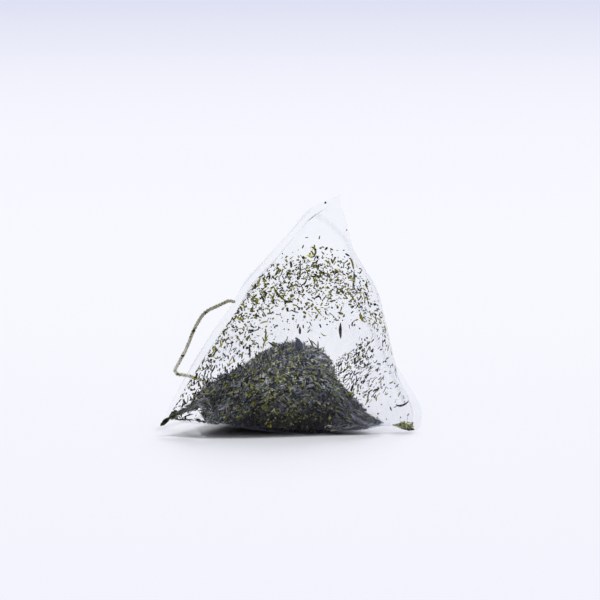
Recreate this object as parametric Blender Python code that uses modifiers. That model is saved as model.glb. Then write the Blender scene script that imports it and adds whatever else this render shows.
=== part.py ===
# Pyramid tea bag: a bag of clear film with loose leaf tea in it, and a cotton thread with a small paper tag.
#
# The film is a tube, flattened and welded shut across both ends. The two welds are turned a quarter turn
# from each other, so the tube makes a four-cornered pyramid: weld A runs from corner L up to corner T, weld B
# from corner B forward to corner R. It lies on the face L-B-R. X is to the right, Y to the back, Z up.
import math

import bmesh
import bpy
import numpy as np
from mathutils import Vector

MM = 0.001

# ---- driving dimensions, in mm ----
TUBE_WIDTH = 70.0  # the flattened tube, and so the length of each weld
PLUMP = 0.5  # 0: flat faces between the welds, 1: blown up tight
WALL = 0.3  # film as drawn; the real one is under 0.1
GAP = 0.4  # between the film and the tea
WELD_THICK = 0.55  # both layers of film where they are welded
WELD_B_SHARE = 0.965  # the last part of the tube, from here on, is weld B
ROUND_AT_WELD = 1.9  # exponent of the section near the welds
ROUND_MIDWAY = 2.8  # and halfway between them
AROUND = 64  # points around the tube
ALONG = 30  # sections between the welds

# Weld A: its cut edge and its inner line, from corner L to corner T.
CUT_A = [
    (-30.2, 5.0, 0.6), (-28.8, 5.2, 3.1), (-26.9, 6.0, 6.8), (-22.7, 7.5, 14.7), (-17.8, 9.5, 22.3), (-12.6, 11.5, 29.6),
    (-9.7, 13.0, 34.6), (-3.3, 15.5, 40.6), (0.4, 17.0, 45.1), (3.8, 18.5, 49.1), (7.6, 19.8, 50.9), (11.4, 21.0, 52.4),
]
LINE_A = [
    (-28.4, 5.0, 2.8), (-27.4, 5.3, 4.5), (-25.7, 6.2, 7.5), (-21.7, 7.7, 14.0), (-16.7, 9.7, 21.5), (-11.5, 11.7, 28.9),
    (-8.6, 13.2, 33.8), (-2.4, 15.7, 39.6), (1.3, 17.2, 44.1), (4.6, 18.7, 47.5), (8.1, 20.0, 49.2), (11.6, 21.0, 50.5),
]
# Weld B: its cut edge, from corner B at the back to corner R, which stands up a little.
CUT_B = [
    (9.0, 56.0, 1.5), (14.5, 46.5, 5.4), (20.0, 36.5, 9.6), (23.6, 27.0, 12.0), (25.1, 18.5, 11.8), (27.8, 13.0, 8.2),
    (29.6, 9.8, 4.9), (29.4, 8.2, 1.5),
]

# How far the film pulls in (-) or bulges out (+) on the side of T-B-R, and sinks (-) or lifts (+) under the bag,
# at shares of the way from weld A to weld B.
SIDE_BULGE = [(0, 0), (0.03, -1.0), (0.06, -2.1), (0.12, -2.9), (0.2, -3.4), (0.28, -2.3), (0.36, -1.0), (0.45, 0.3), (0.6, 0), (0.7, -0.6), (0.8, -0.4), (1, 0)]
BASE_DROP = [(0, 0), (0.05, 2.0), (0.15, 2.6), (0.3, 0.2), (0.45, -3.4), (0.6, -4.8), (0.75, -3.4), (0.9, -1.0), (1, 0)]
# How far the front end of the section, which runs out to corner R, lifts or sinks.
END_DROP = [(0, 0), (0.6, 0), (0.72, -0.2), (0.8, -0.9), (0.86, -2.0), (0.91, -2.6), (0.95, -2.3), (0.98, -1.2), (1, 0)]
# How far the tea pushes the lower front fold, L-R, out to the front.
FRONT_PUSH = [(0, 0), (0.05, 0.6), (0.1, 2.0), (0.16, 3.9), (0.24, 5.0), (0.34, 4.6), (0.43, 3.2), (0.52, 1.6), (0.62, 0.4), (0.7, 0), (1, 0)]
RISE_FROM, RISE = -5.0, 0.11  # to the left of this X the base lifts off the floor, at this slope
FRONT_RISE_FROM, FRONT_RISE = 4.0, 0.16  # and its front edge to the left of this X, at this further slope
MOST_RISE = 3.2
# Where the fold T-R runs around the tube, in degrees; the other three folds run evenly.
FOLD_TR = [(0, 10), (0.1, 14), (0.2, 24), (0.3, 42), (0.4, 52), (0.5, 55), (0.6, 51), (0.7, 51), (0.8, 57), (0.9, 68), (1, 80)]
FOLD_SHARP = (0.04, 0.02, 0.0, 0.02)  # how far each fold stands out, as a share

# The heap of tea: its highest point, and how far it runs out on each side.
HEAP_X, HEAP_Y, HEAP_Z = 1.0, 16.0, 18.9
HEAP_LEFT, HEAP_RIGHT, HEAP_FRONT, HEAP_BACK = 27.0, 17.8, 30.0, 25.0

# Thread, its coil and the tag.
THREAD_D = 0.7
NOTCH = 1.4  # the weld's width that the thread passes through
COIL_X, COIL_Y = -10.0, 47.5
COIL_R = 3.85  # at the middle of the turns
COIL_TURNS = 3.25
TURN_PITCH = 0.75
TAG_X, TAG_Y, TAG_W, TAG_L, TAG_T = -4.5, 66.5, 16.0, 20.0, 0.5

for old in list(bpy.data.objects):
    bpy.data.objects.remove(old, do_unlink=True)


def collection(name, hidden=False):
    c = bpy.data.collections.new(name)
    bpy.context.scene.collection.children.link(c)
    c.hide_render = hidden
    return c


BAG = collection("pyramid_tea_bag")
CUTTERS = collection("cutters", hidden=True)


def material(name, color, roughness, metallic=0.0, alpha=1.0):
    m = bpy.data.materials.new(name)
    m.use_nodes = True
    p = m.node_tree.nodes["Principled BSDF"]
    p.inputs["Base Color"].default_value = (*color, 1.0)
    p.inputs["Roughness"].default_value = roughness
    p.inputs["Metallic"].default_value = metallic
    p.inputs["Alpha"].default_value = alpha
    m.diffuse_color = (*color, 1.0)
    return m


FILM = material("clear_film", (0.86, 0.88, 0.95), 0.35, alpha=0.35)
TEA = material("loose_leaf_tea", (0.055, 0.06, 0.055), 0.8)
COTTON = material("cotton_thread", (0.74, 0.71, 0.62), 0.9)
PAPER = material("tag_paper", (0.86, 0.85, 0.82), 0.85)


def smooth_line(points, count):
    """count points, evenly apart, on a smooth curve through the guide points."""
    p = np.array(points, float)
    p = np.vstack([2 * p[0] - p[1], p, 2 * p[-1] - p[-2]])
    out = []
    for a, b, c, d in zip(p, p[1:], p[2:], p[3:]):
        for t in np.linspace(0, 1, 24, endpoint=False):
            out.append(0.5 * (2 * b + (c - a) * t + (2 * a - 5 * b + 4 * c - d) * t**2 + (3 * b - a - 3 * c + d) * t**3))
    out = np.array([*out, p[-2]])
    run = np.r_[0, np.cumsum(np.linalg.norm(np.diff(out, axis=0), axis=1))]
    at = np.linspace(0, run[-1], count)
    return np.stack([np.interp(at, run, out[:, k]) for k in range(3)], 1)


def ease(t):
    t = np.clip(t, 0, 1)
    return t * t * (3 - 2 * t)


def profile(pairs, v):
    """The value at v on a smooth run through (share, value) pairs."""
    x, y = (np.array(q, float) for q in zip(*pairs))
    slope = np.gradient(y, x)
    i = int(np.clip(np.searchsorted(x, v, side="right") - 1, 0, len(x) - 2))
    h = x[i + 1] - x[i]
    t = (v - x[i]) / h
    return float(
        y[i] * (2 * t**3 - 3 * t**2 + 1) + slope[i] * h * (t**3 - 2 * t**2 + t)
        + y[i + 1] * (3 * t**2 - 2 * t**3) + slope[i + 1] * h * (t**3 - t**2)
    )


STEPS = 401
SHARE = np.linspace(-1, 1, STEPS)
EDGE_A, SEAM_A, EDGE_B = (smooth_line(g, STEPS) for g in (CUT_A, LINE_A, CUT_B))
MID_A, MID_B = SEAM_A[STEPS // 2], EDGE_B[STEPS // 2]
HALF_A, HALF_B = (np.linalg.norm(e[-1] - e[0]) / 2 for e in (SEAM_A, EDGE_B))
ACROSS_A = (EDGE_B[-1] - EDGE_B[0]) / (2 * HALF_B)  # the way the layers part at weld A
ACROSS_B = np.cross(np.gradient(EDGE_B, axis=0), MID_B - MID_A)  # and at weld B, all along its twisted strip
ACROSS_B /= np.linalg.norm(ACROSS_B, axis=1)[:, None]


def along(edge, x, mid, straight):
    """From mid to the point of a weld at share x, from -1 to 1 and a little past, and as the weld's chord where straight is 1."""
    d = np.stack([np.interp(x, SHARE, edge[:, k]) for k in range(3)], -1) - mid
    step = SHARE[1] - SHARE[0]
    d = d + np.minimum(x + 1, 0)[:, None] * (edge[1] - edge[0]) / step
    d = d + np.maximum(x - 1, 0)[:, None] * (edge[-1] - edge[-2]) / step
    chord = (edge[-1] + edge[0]) / 2 - mid + x[:, None] * (edge[-1] - edge[0]) / 2
    return d * (1 - straight) + chord * straight


def ring_shape(v, power, sharp):
    """The section's outline around the tube: x from -1 to 1 along weld A, y along weld B."""
    even = math.radians(10 + 70 * v)
    folds = [math.radians(profile(FOLD_TR, v)), math.pi - even, math.pi + even, 2 * math.pi - even]
    angle = []
    for i in range(4):
        start = folds[i - 1] - (2 * math.pi if i == 0 else 0)
        angle += list(np.linspace(start, folds[i], AROUND // 4, endpoint=False))
    angle = np.array(angle)
    c, s = np.cos(angle), np.sin(angle)
    r = (np.abs(c) ** power + np.abs(s) ** power) ** (-1 / power)
    for high, fold in zip(FOLD_SHARP, folds):
        away = np.abs((angle - fold + math.pi) % (2 * math.pi) - math.pi)
        r = r * (1 + high * sharp * np.exp(-away / 0.16))
    near_lr = np.exp(-((np.abs((angle - folds[1] + math.pi) % (2 * math.pi) - math.pi) / 0.6) ** 2))
    return r * c, r * s, c, s, near_lr


def section(v, inset=0.0):
    """The film's outline at share v of the way from weld A to weld B, drawn in by inset."""
    mid = 4 * v * (1 - v)
    x, y, c, s, near_lr = ring_shape(v, ROUND_AT_WELD + (ROUND_MIDWAY - ROUND_AT_WELD) * mid, math.sqrt(mid))
    wide_a = max(1 - v / WELD_B_SHARE, WELD_THICK / 2 / HALF_A)
    wide_b = max(v, WELD_THICK / 2 / HALF_B)

    near_b = ease((v - 0.7) / 0.26)

    def place(kx, ky):
        apart = np.stack([np.interp(y * ky, SHARE, ACROSS_B[:, k]) for k in range(3)], -1) * (x * kx * HALF_A)[:, None]
        return (
            MID_A * (1 - v) + MID_B * v
            + wide_a * (along(SEAM_A, x * kx, MID_A, ease(v / 0.75)) * (1 - near_b) + apart * near_b)
            + wide_b * along(EDGE_B, y * ky, MID_B, ease((1 - v) / 0.75))
        )

    k = 1.0
    for _ in range(3):  # the film doesn't stretch: the girth is twice the tube's width
        p = place(k, k)
        k *= 2 * TUBE_WIDTH / np.linalg.norm(p - np.roll(p, 1, 0), axis=1).sum()
    k = 1 + (k - 1) * PLUMP * ease((1 - v) / 0.3) * ease(v / 0.07)
    p = place(k - inset / (wide_a * HALF_A), k - inset / (wide_b * HALF_B))
    p[:, 0] += profile(SIDE_BULGE, v) * np.maximum(c, 0) ** 1.5
    p[:, 2] += profile(BASE_DROP, v) * np.maximum(-c, 0) ** 1.5
    p[:, 2] += profile(END_DROP, v) * np.maximum(s, 0) ** 4
    p[:, 1] -= profile(FRONT_PUSH, v) * near_lr
    rise = RISE * np.maximum(RISE_FROM - p[:, 0], 0)
    rise += FRONT_RISE * np.maximum(FRONT_RISE_FROM - p[:, 0], 0) * ease((13.0 - p[:, 1]) / 7.0)
    p[:, 2] = np.maximum(p[:, 2], inset + MOST_RISE * np.tanh(rise / MOST_RISE))  # it rests flat on the floor
    return p


def weld_ring(edge):
    """The outline around a weld's flat strip at one of its edges."""
    x, y, *_ = ring_shape(0.0, 6.0, 0.0)
    return np.stack([np.interp(x, SHARE, edge[:, k]) for k in range(3)], -1) + y[:, None] * ACROSS_A * WELD_THICK / 2


def solid(name, rings, where, mat=None):
    """A closed solid through rings of equally many points, capped at both ends."""
    bm = bmesh.new()
    rows = [[bm.verts.new(Vector(p) * MM) for p in ring] for ring in rings]
    for low, high in zip(rows, rows[1:]):
        for i in range(len(low)):
            j = (i + 1) % len(low)
            bm.faces.new((low[i], low[j], high[j], high[i]))
    bm.faces.new(rows[0][::-1])
    bm.faces.new(rows[-1])
    bmesh.ops.recalc_face_normals(bm, faces=bm.faces)
    mesh = bpy.data.meshes.new(name)
    bm.to_mesh(mesh)
    bm.free()
    if mat:
        mesh.materials.append(mat)
        mesh.polygons.foreach_set("use_smooth", [True] * len(mesh.polygons))
    obj = bpy.data.objects.new(name, mesh)
    where.objects.link(obj)
    if where is CUTTERS:
        obj.hide_render = True
        obj.display_type = "WIRE"
    return obj


def cut(obj, other, operation):
    m = obj.modifiers.new(operation.lower(), "BOOLEAN")
    m.operation = operation
    m.solver = "EXACT"
    m.object = other


# ---- the bag: a shell of film, and the weld strip along A ----
spaced = (1 - np.cos(np.linspace(0, math.pi, ALONG + 1))) / 2
shares = sorted({0.0, *np.round(0.35 * np.linspace(0, 1, ALONG + 1) + 0.65 * spaced, 4), WELD_B_SHARE})
film = solid("bag_film", [weld_ring(EDGE_A)] + [section(v) for v in shares], BAG, FILM)

inner = [v for v in shares if 0.018 < v < 0.945]
inside = solid("inside_of_film", [section(v, WALL) for v in inner], CUTTERS)
cut(film, inside, "DIFFERENCE")

# The thread leaves through a notch in weld A, where the two layers are welded around it.
exit_share = 0.02
exit_at = np.array([np.interp(exit_share, SHARE, EDGE_A[:, k]) for k in range(3)])
run_a = np.array([np.interp(exit_share + 0.03, SHARE, EDGE_A[:, k]) for k in range(3)]) - exit_at
run_a /= np.linalg.norm(run_a)
into = MID_B - exit_at
into -= run_a * into.dot(run_a)
into /= np.linalg.norm(into)
across = np.cross(run_a, into)


def block(name, centre, axes, size, where, mat=None):
    """A box with its own axes."""
    bm = bmesh.new()
    bmesh.ops.create_cube(bm, size=1.0)
    for v in bm.verts:
        v.co = Vector(centre + sum(a * s * q for a, s, q in zip(axes, size, v.co))) * MM
    bmesh.ops.recalc_face_normals(bm, faces=bm.faces)
    mesh = bpy.data.meshes.new(name)
    bm.to_mesh(mesh)
    bm.free()
    if mat:
        mesh.materials.append(mat)
    obj = bpy.data.objects.new(name, mesh)
    where.objects.link(obj)
    if where is CUTTERS:
        obj.hide_render = True
        obj.display_type = "WIRE"
    return obj


notch = block("thread_notch", exit_at + into * 1.7, (run_a, into, across), (NOTCH, 4.6, 3.1), CUTTERS)
cut(film, notch, "DIFFERENCE")

# ---- the tea: the heap fills the bag from the film up to its own slopes ----
tea = solid("tea_heap", [section(v, WALL + GAP) for v in inner if 0.05 < v < 0.93], BAG, TEA)


def slope(x, y):
    side = abs(x - HEAP_X) / (HEAP_LEFT if x < HEAP_X else HEAP_RIGHT)
    depth = abs(y - HEAP_Y) / (HEAP_FRONT if y < HEAP_Y else HEAP_BACK)
    return HEAP_Z * (1 - side ** (1.6 if x < HEAP_X else 2.0) - depth**2)


xs = np.linspace(HEAP_X - 34, HEAP_X + 34, 35)
above = solid(
    "above_the_heap",
    [[(x, -8, 60), (x, 64, 60), *((x, y, max(slope(x, y), 0.9)) for y in np.linspace(64, -8, 30))] for x in xs],
    CUTTERS,
)
cut(tea, above, "DIFFERENCE")

# ---- the thread: out of the weld in a loop, behind the bag to a coil on the floor, and on to the tag ----
def tube(name, points, diameter, mat):
    curve = bpy.data.curves.new(name, "CURVE")
    curve.dimensions = "3D"
    curve.bevel_depth = diameter / 2 * MM
    curve.bevel_resolution = 2
    curve.use_fill_caps = True
    line = curve.splines.new("POLY")
    line.points.add(len(points) - 1)
    for p, q in zip(line.points, points):
        p.co = (*(Vector(q) * MM), 1.0)
    curve.materials.append(mat)
    obj = bpy.data.objects.new(name, curve)
    BAG.objects.link(obj)
    return obj


LOOP = [
    exit_at + into * 1.0, exit_at - into * 0.8, (-16.0, 12.2, 28.8), (-19.3, 12.8, 26.6), (-21.6, 13.1, 23.0), (-23.5, 13.3, 18.4),
    (-25.4, 13.6, 14.0), (-25.7, 14.4, 12.6), (-24.9, 15.8, 11.8), (-22.7, 18.9, 10.7), (-19.9, 23.0, 8.8), (-17.8, 27.0, 6.8),
    (-16.3, 31.5, 5.0), (-14.9, 37.0, 3.7), (-14.1, 41.0, 3.1), (-13.9, 44.6, 2.85),
]
loop_points = smooth_line(LOOP, 46)
thread = tube("thread", loop_points, THREAD_D, COTTON)

# The coil stands on its lowest turn; its solid is the ring that the turns fill.
coil_height = THREAD_D + COIL_TURNS * TURN_PITCH
bm = bmesh.new()
inner_r, outer_r = COIL_R - THREAD_D / 2, COIL_R + THREAD_D / 2
corners = [bm.verts.new((r * MM, 0, z * MM)) for r, z in ((inner_r, 0), (inner_r, coil_height), (outer_r, coil_height), (outer_r, 0))]
for a, b in zip(corners, corners[1:] + corners[:1]):
    bm.edges.new((a, b))
mesh = bpy.data.meshes.new("thread_coil")
bm.to_mesh(mesh)
bm.free()
mesh.materials.append(COTTON)
coil = bpy.data.objects.new("thread_coil", mesh)
coil.location = Vector((COIL_X, COIL_Y, 0)) * MM
BAG.objects.link(coil)
turn = coil.modifiers.new("turned", "SCREW")
turn.axis = "Z"
turn.angle = 2 * math.pi
turn.steps = turn.render_steps = 32
turn.use_merge_vertices = True
turn.merge_threshold = 1e-6

tail = tube(
    "thread_end",
    smooth_line([(COIL_X + 2.1, COIL_Y + 4.25, 0.36), (COIL_X + 3.8, COIL_Y + 5.0, 0.36), (COIL_X + 4.8, COIL_Y + 6.4, 0.36), (TAG_X, TAG_Y - TAG_L / 2 - 0.3, 0.36)], 8),
    THREAD_D,
    COTTON,
)
tag = block("tag", np.array([TAG_X, TAG_Y, TAG_T / 2]), np.eye(3), (TAG_W, TAG_L, TAG_T), BAG, PAPER)

# ---- the origin: under the middle of the bag, on the floor ----
every = np.vstack([weld_ring(EDGE_A)] + [section(v) for v in shares])
low, high = every.min(0), every.max(0)
shift = Vector((-(low[0] + high[0]) / 2, -(low[1] + high[1]) / 2, 0)) * MM
for obj in bpy.data.objects:
    obj.location += shift
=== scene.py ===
# Looks of the pyramid tea bag: clear film, loose leaf, thread and tag, photographed in a light tent.
import math

import bpy
import numpy as np
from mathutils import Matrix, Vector
from mathutils.bvhtree import BVHTree


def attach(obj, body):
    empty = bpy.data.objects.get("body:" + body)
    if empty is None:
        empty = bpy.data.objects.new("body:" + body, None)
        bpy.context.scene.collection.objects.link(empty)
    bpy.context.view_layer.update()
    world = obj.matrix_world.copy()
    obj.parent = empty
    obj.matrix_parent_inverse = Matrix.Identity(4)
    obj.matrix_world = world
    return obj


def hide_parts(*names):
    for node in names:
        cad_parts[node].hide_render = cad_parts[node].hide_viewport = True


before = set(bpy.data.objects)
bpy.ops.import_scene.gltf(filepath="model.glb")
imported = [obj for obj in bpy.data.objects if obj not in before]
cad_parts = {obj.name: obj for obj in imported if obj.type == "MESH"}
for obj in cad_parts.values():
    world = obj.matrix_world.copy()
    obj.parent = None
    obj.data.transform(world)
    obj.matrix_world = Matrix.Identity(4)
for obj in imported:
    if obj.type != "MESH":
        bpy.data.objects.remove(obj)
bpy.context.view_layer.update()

MM = 0.001
SHIFT = np.array([0.2658, -29.3466, 0.0])  # from the modelling frame, in mm, to the row's origin

# ------------------------------------------------------------------ camera
ELEVATION = math.radians(10.0)
DISTANCE = 550.0
TARGET = np.array([2.2, 0.0, 31.85])
FOCUS = 2500.0  # pixels
EYE = TARGET + DISTANCE * np.array([0.0, -math.cos(ELEVATION), math.sin(ELEVATION)])

cam_data = bpy.data.cameras.new("camera")
cam_data.sensor_width = 36.0
cam_data.lens = 36.0 * FOCUS / 600.0
cam_data.clip_start, cam_data.clip_end = 0.02, 20.0
camera = bpy.data.objects.new("camera", cam_data)
bpy.context.scene.collection.objects.link(camera)
camera.location = Vector((EYE + SHIFT) * MM)
camera.rotation_euler = (math.pi / 2 - ELEVATION, 0.0, 0.0)
bpy.context.scene.camera = camera


def pixels(p):
    """Where points of the modelling frame, in mm, fall in the picture."""
    d = np.asarray(p, float) - EYE
    deep = d[..., 1] * math.cos(ELEVATION) - d[..., 2] * math.sin(ELEVATION)
    up = d[..., 1] * math.sin(ELEVATION) + d[..., 2] * math.cos(ELEVATION)
    return np.stack([300 + FOCUS * d[..., 0] / deep, 300 - FOCUS * up / deep], -1)


# ------------------------------------------------------------------ the film's form, as in the CAD, but finer
TUBE_WIDTH = 70.0
PLUMP = 0.5
WELD_B_SHARE = 0.965
ROUND_AT_WELD, ROUND_MIDWAY = 1.9, 2.8
CUT_A = [
    (-30.2, 5.0, 0.6), (-28.8, 5.2, 3.1), (-26.9, 6.0, 6.8), (-22.7, 7.5, 14.7), (-17.8, 9.5, 22.3), (-12.6, 11.5, 29.6),
    (-9.7, 13.0, 34.6), (-3.3, 15.5, 40.6), (0.4, 17.0, 45.1), (3.8, 18.5, 49.1), (7.6, 19.8, 50.9), (11.4, 21.0, 52.4),
]
LINE_A = [
    (-28.4, 5.0, 2.8), (-27.4, 5.3, 4.5), (-25.7, 6.2, 7.5), (-21.7, 7.7, 14.0), (-16.7, 9.7, 21.5), (-11.5, 11.7, 28.9),
    (-8.6, 13.2, 33.8), (-2.4, 15.7, 39.6), (1.3, 17.2, 44.1), (4.6, 18.7, 47.5), (8.1, 20.0, 49.2), (11.6, 21.0, 50.5),
]
CUT_B = [
    (9.0, 56.0, 1.5), (14.5, 46.5, 5.4), (20.0, 36.5, 9.6), (23.6, 27.0, 12.0), (25.1, 18.5, 11.8), (27.8, 13.0, 8.2),
    (29.6, 9.8, 4.9), (29.4, 8.2, 1.5),
]
SIDE_BULGE = [(0, 0), (0.03, -1.0), (0.06, -2.1), (0.12, -2.9), (0.2, -3.4), (0.28, -2.3), (0.36, -1.0), (0.45, 0.3), (0.6, 0), (0.7, -0.6), (0.8, -0.4), (1, 0)]
BASE_DROP = [(0, 0), (0.05, 2.0), (0.15, 2.6), (0.3, 0.2), (0.45, -3.4), (0.6, -4.8), (0.75, -3.4), (0.9, -1.0), (1, 0)]
END_DROP = [(0, 0), (0.6, 0), (0.72, -0.2), (0.8, -0.9), (0.86, -2.0), (0.91, -2.6), (0.95, -2.3), (0.98, -1.2), (1, 0)]
FRONT_PUSH = [(0, 0), (0.05, 0.6), (0.1, 2.0), (0.16, 3.9), (0.24, 5.0), (0.34, 4.6), (0.43, 3.2), (0.52, 1.6), (0.62, 0.4), (0.7, 0), (1, 0)]
RISE_FROM, RISE = -5.0, 0.11
FRONT_RISE_FROM, FRONT_RISE = 4.0, 0.16
MOST_RISE = 3.2
FOLD_TR = [(0, 10), (0.1, 14), (0.2, 24), (0.3, 42), (0.4, 52), (0.5, 55), (0.6, 51), (0.7, 51), (0.8, 57), (0.9, 68), (1, 80)]
FOLD_SHARP = (0.055, 0.03, 0.0, 0.03)
SHARE = np.linspace(-1, 1, 401)


def smooth_line(points, count):
    """count points, evenly apart, on a smooth curve through the guide points."""
    p = np.array(points, float)
    p = np.vstack([2 * p[0] - p[1], p, 2 * p[-1] - p[-2]])
    out = []
    for a, b, c, d in zip(p, p[1:], p[2:], p[3:]):
        for t in np.linspace(0, 1, 24, endpoint=False):
            out.append(0.5 * (2 * b + (c - a) * t + (2 * a - 5 * b + 4 * c - d) * t**2 + (3 * b - a - 3 * c + d) * t**3))
    out = np.array([*out, p[-2]])
    run = np.r_[0, np.cumsum(np.linalg.norm(np.diff(out, axis=0), axis=1))]
    at = np.linspace(0, run[-1], count)
    return np.stack([np.interp(at, run, out[:, k]) for k in range(out.shape[1])], 1)


def ease(t):
    t = np.clip(t, 0, 1)
    return t * t * (3 - 2 * t)


def profile(pairs, v):
    x, y = (np.array(q, float) for q in zip(*pairs))
    slope = np.gradient(y, x)
    i = int(np.clip(np.searchsorted(x, v, side="right") - 1, 0, len(x) - 2))
    h = x[i + 1] - x[i]
    t = (v - x[i]) / h
    return float(
        y[i] * (2 * t**3 - 3 * t**2 + 1) + slope[i] * h * (t**3 - 2 * t**2 + t)
        + y[i + 1] * (3 * t**2 - 2 * t**3) + slope[i + 1] * h * (t**3 - t**2)
    )


EDGE_A, SEAM_A, EDGE_B = (smooth_line(g, 401) for g in (CUT_A, LINE_A, CUT_B))
MID_A, MID_B = SEAM_A[200], EDGE_B[200]
HALF_A, HALF_B = (np.linalg.norm(e[-1] - e[0]) / 2 for e in (SEAM_A, EDGE_B))
ACROSS_A = (EDGE_B[-1] - EDGE_B[0]) / (2 * HALF_B)
ACROSS_B = np.cross(np.gradient(EDGE_B, axis=0), MID_B - MID_A)
ACROSS_B /= np.linalg.norm(ACROSS_B, axis=1)[:, None]


def pick(line, x):
    return np.stack([np.interp(x, SHARE, line[:, k]) for k in range(3)], -1)


def along(edge, x, mid, straight):
    d = pick(edge, x) - mid
    step = SHARE[1] - SHARE[0]
    d = d + np.minimum(x + 1, 0)[:, None] * (edge[1] - edge[0]) / step
    d = d + np.maximum(x - 1, 0)[:, None] * (edge[-1] - edge[-2]) / step
    chord = (edge[-1] + edge[0]) / 2 - mid + x[:, None] * (edge[-1] - edge[0]) / 2
    return d * (1 - straight) + chord * straight


def fold_angles(v):
    even = math.radians(10 + 70 * v)
    return [math.radians(profile(FOLD_TR, v)), math.pi - even, math.pi + even, 2 * math.pi - even]


def around(v, count):
    """Angles around the tube; a quarter of them lies between each two folds, closer together near the folds."""
    folds = fold_angles(v)
    angle = []
    for i in range(4):
        start = folds[i - 1] - (2 * math.pi if i == 0 else 0)
        t = np.linspace(0, 1, count // 4, endpoint=False)
        t = 0.55 * t + 0.45 * (1 - np.cos(math.pi * t)) / 2
        angle += list(start + (folds[i] - start) * t)
    return np.array(angle)


def film_ring(v, angle, inset=0.0, thick=0.09):
    """Points of the film at share v of the way from weld A to weld B and at these angles around the tube."""
    mid = 4 * v * (1 - v)
    power = ROUND_AT_WELD + (ROUND_MIDWAY - ROUND_AT_WELD) * mid
    c, s = np.cos(angle), np.sin(angle)
    r = (np.abs(c) ** power + np.abs(s) ** power) ** (-1 / power)
    for high, fold in zip(FOLD_SHARP, fold_angles(v)):
        away = np.abs((angle - fold + math.pi) % (2 * math.pi) - math.pi)
        r = r * (1 + high * math.sqrt(mid) * np.exp(-away / 0.13))
    x, y = r * c, r * s
    wide_a = max(1 - v / WELD_B_SHARE, thick / HALF_A)
    wide_b = max(v, thick / HALF_B)
    near_b = ease((v - 0.7) / 0.26)

    def place(x, y, kx, ky):
        apart = pick(ACROSS_B, y * ky) * (x * kx * HALF_A)[:, None]
        return (
            MID_A * (1 - v) + MID_B * v
            + wide_a * (along(SEAM_A, x * kx, MID_A, ease(v / 0.75)) * (1 - near_b) + apart * near_b)
            + wide_b * along(EDGE_B, y * ky, MID_B, ease((1 - v) / 0.75))
        )

    full = around(v, 96)
    fc, fs = np.cos(full), np.sin(full)
    fr = (np.abs(fc) ** power + np.abs(fs) ** power) ** (-1 / power)
    k = 1.0
    for _ in range(3):
        p = place(fr * fc, fr * fs, k, k)
        k *= 2 * TUBE_WIDTH / np.linalg.norm(p - np.roll(p, 1, 0), axis=1).sum()
    k = 1 + (k - 1) * PLUMP * ease((1 - v) / 0.3) * ease(v / 0.07)
    p = place(x, y, k - inset / (wide_a * HALF_A), k - inset / (wide_b * HALF_B))
    p[:, 0] += profile(SIDE_BULGE, v) * np.maximum(c, 0) ** 1.5
    p[:, 2] += profile(BASE_DROP, v) * np.maximum(-c, 0) ** 1.5
    p[:, 2] += profile(END_DROP, v) * np.maximum(s, 0) ** 4
    away = np.abs((angle - fold_angles(v)[1] + math.pi) % (2 * math.pi) - math.pi)
    p[:, 1] -= profile(FRONT_PUSH, v) * np.exp(-((away / 0.6) ** 2))
    rise = RISE * np.maximum(RISE_FROM - p[:, 0], 0)
    rise += FRONT_RISE * np.maximum(FRONT_RISE_FROM - p[:, 0], 0) * ease((13.0 - p[:, 1]) / 7.0)
    p[:, 2] = np.maximum(p[:, 2], 0.02 + inset + MOST_RISE * np.tanh(rise / MOST_RISE))
    return p


# ------------------------------------------------------------------ materials
def rgb(r, g, b):
    """sRGB 0..255 to linear."""
    c = np.array([r, g, b]) / 255.0
    return tuple(float(x) for x in np.where(c <= 0.04045, c / 12.92, ((c + 0.055) / 1.055) ** 2.4)) + (1.0,)


def new_material(name):
    m = bpy.data.materials.new(name)
    m.use_nodes = True
    nt = m.node_tree
    nt.nodes.clear()
    out = nt.nodes.new("ShaderNodeOutputMaterial")
    return m, nt, out


def node(nt, kind, **values):
    n = nt.nodes.new(kind)
    for k, v in values.items():
        if k in n.inputs:
            n.inputs[k].default_value = v
        else:
            setattr(n, k, v)
    return n


def ramp(nt, stops, interpolation="LINEAR"):
    n = nt.nodes.new("ShaderNodeValToRGB")
    n.color_ramp.interpolation = interpolation
    e = n.color_ramp.elements
    while len(e) < len(stops):
        e.new(0.5)
    for x, (p, c) in zip(e, stops):
        x.position = p
        x.color = c
    return n


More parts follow.
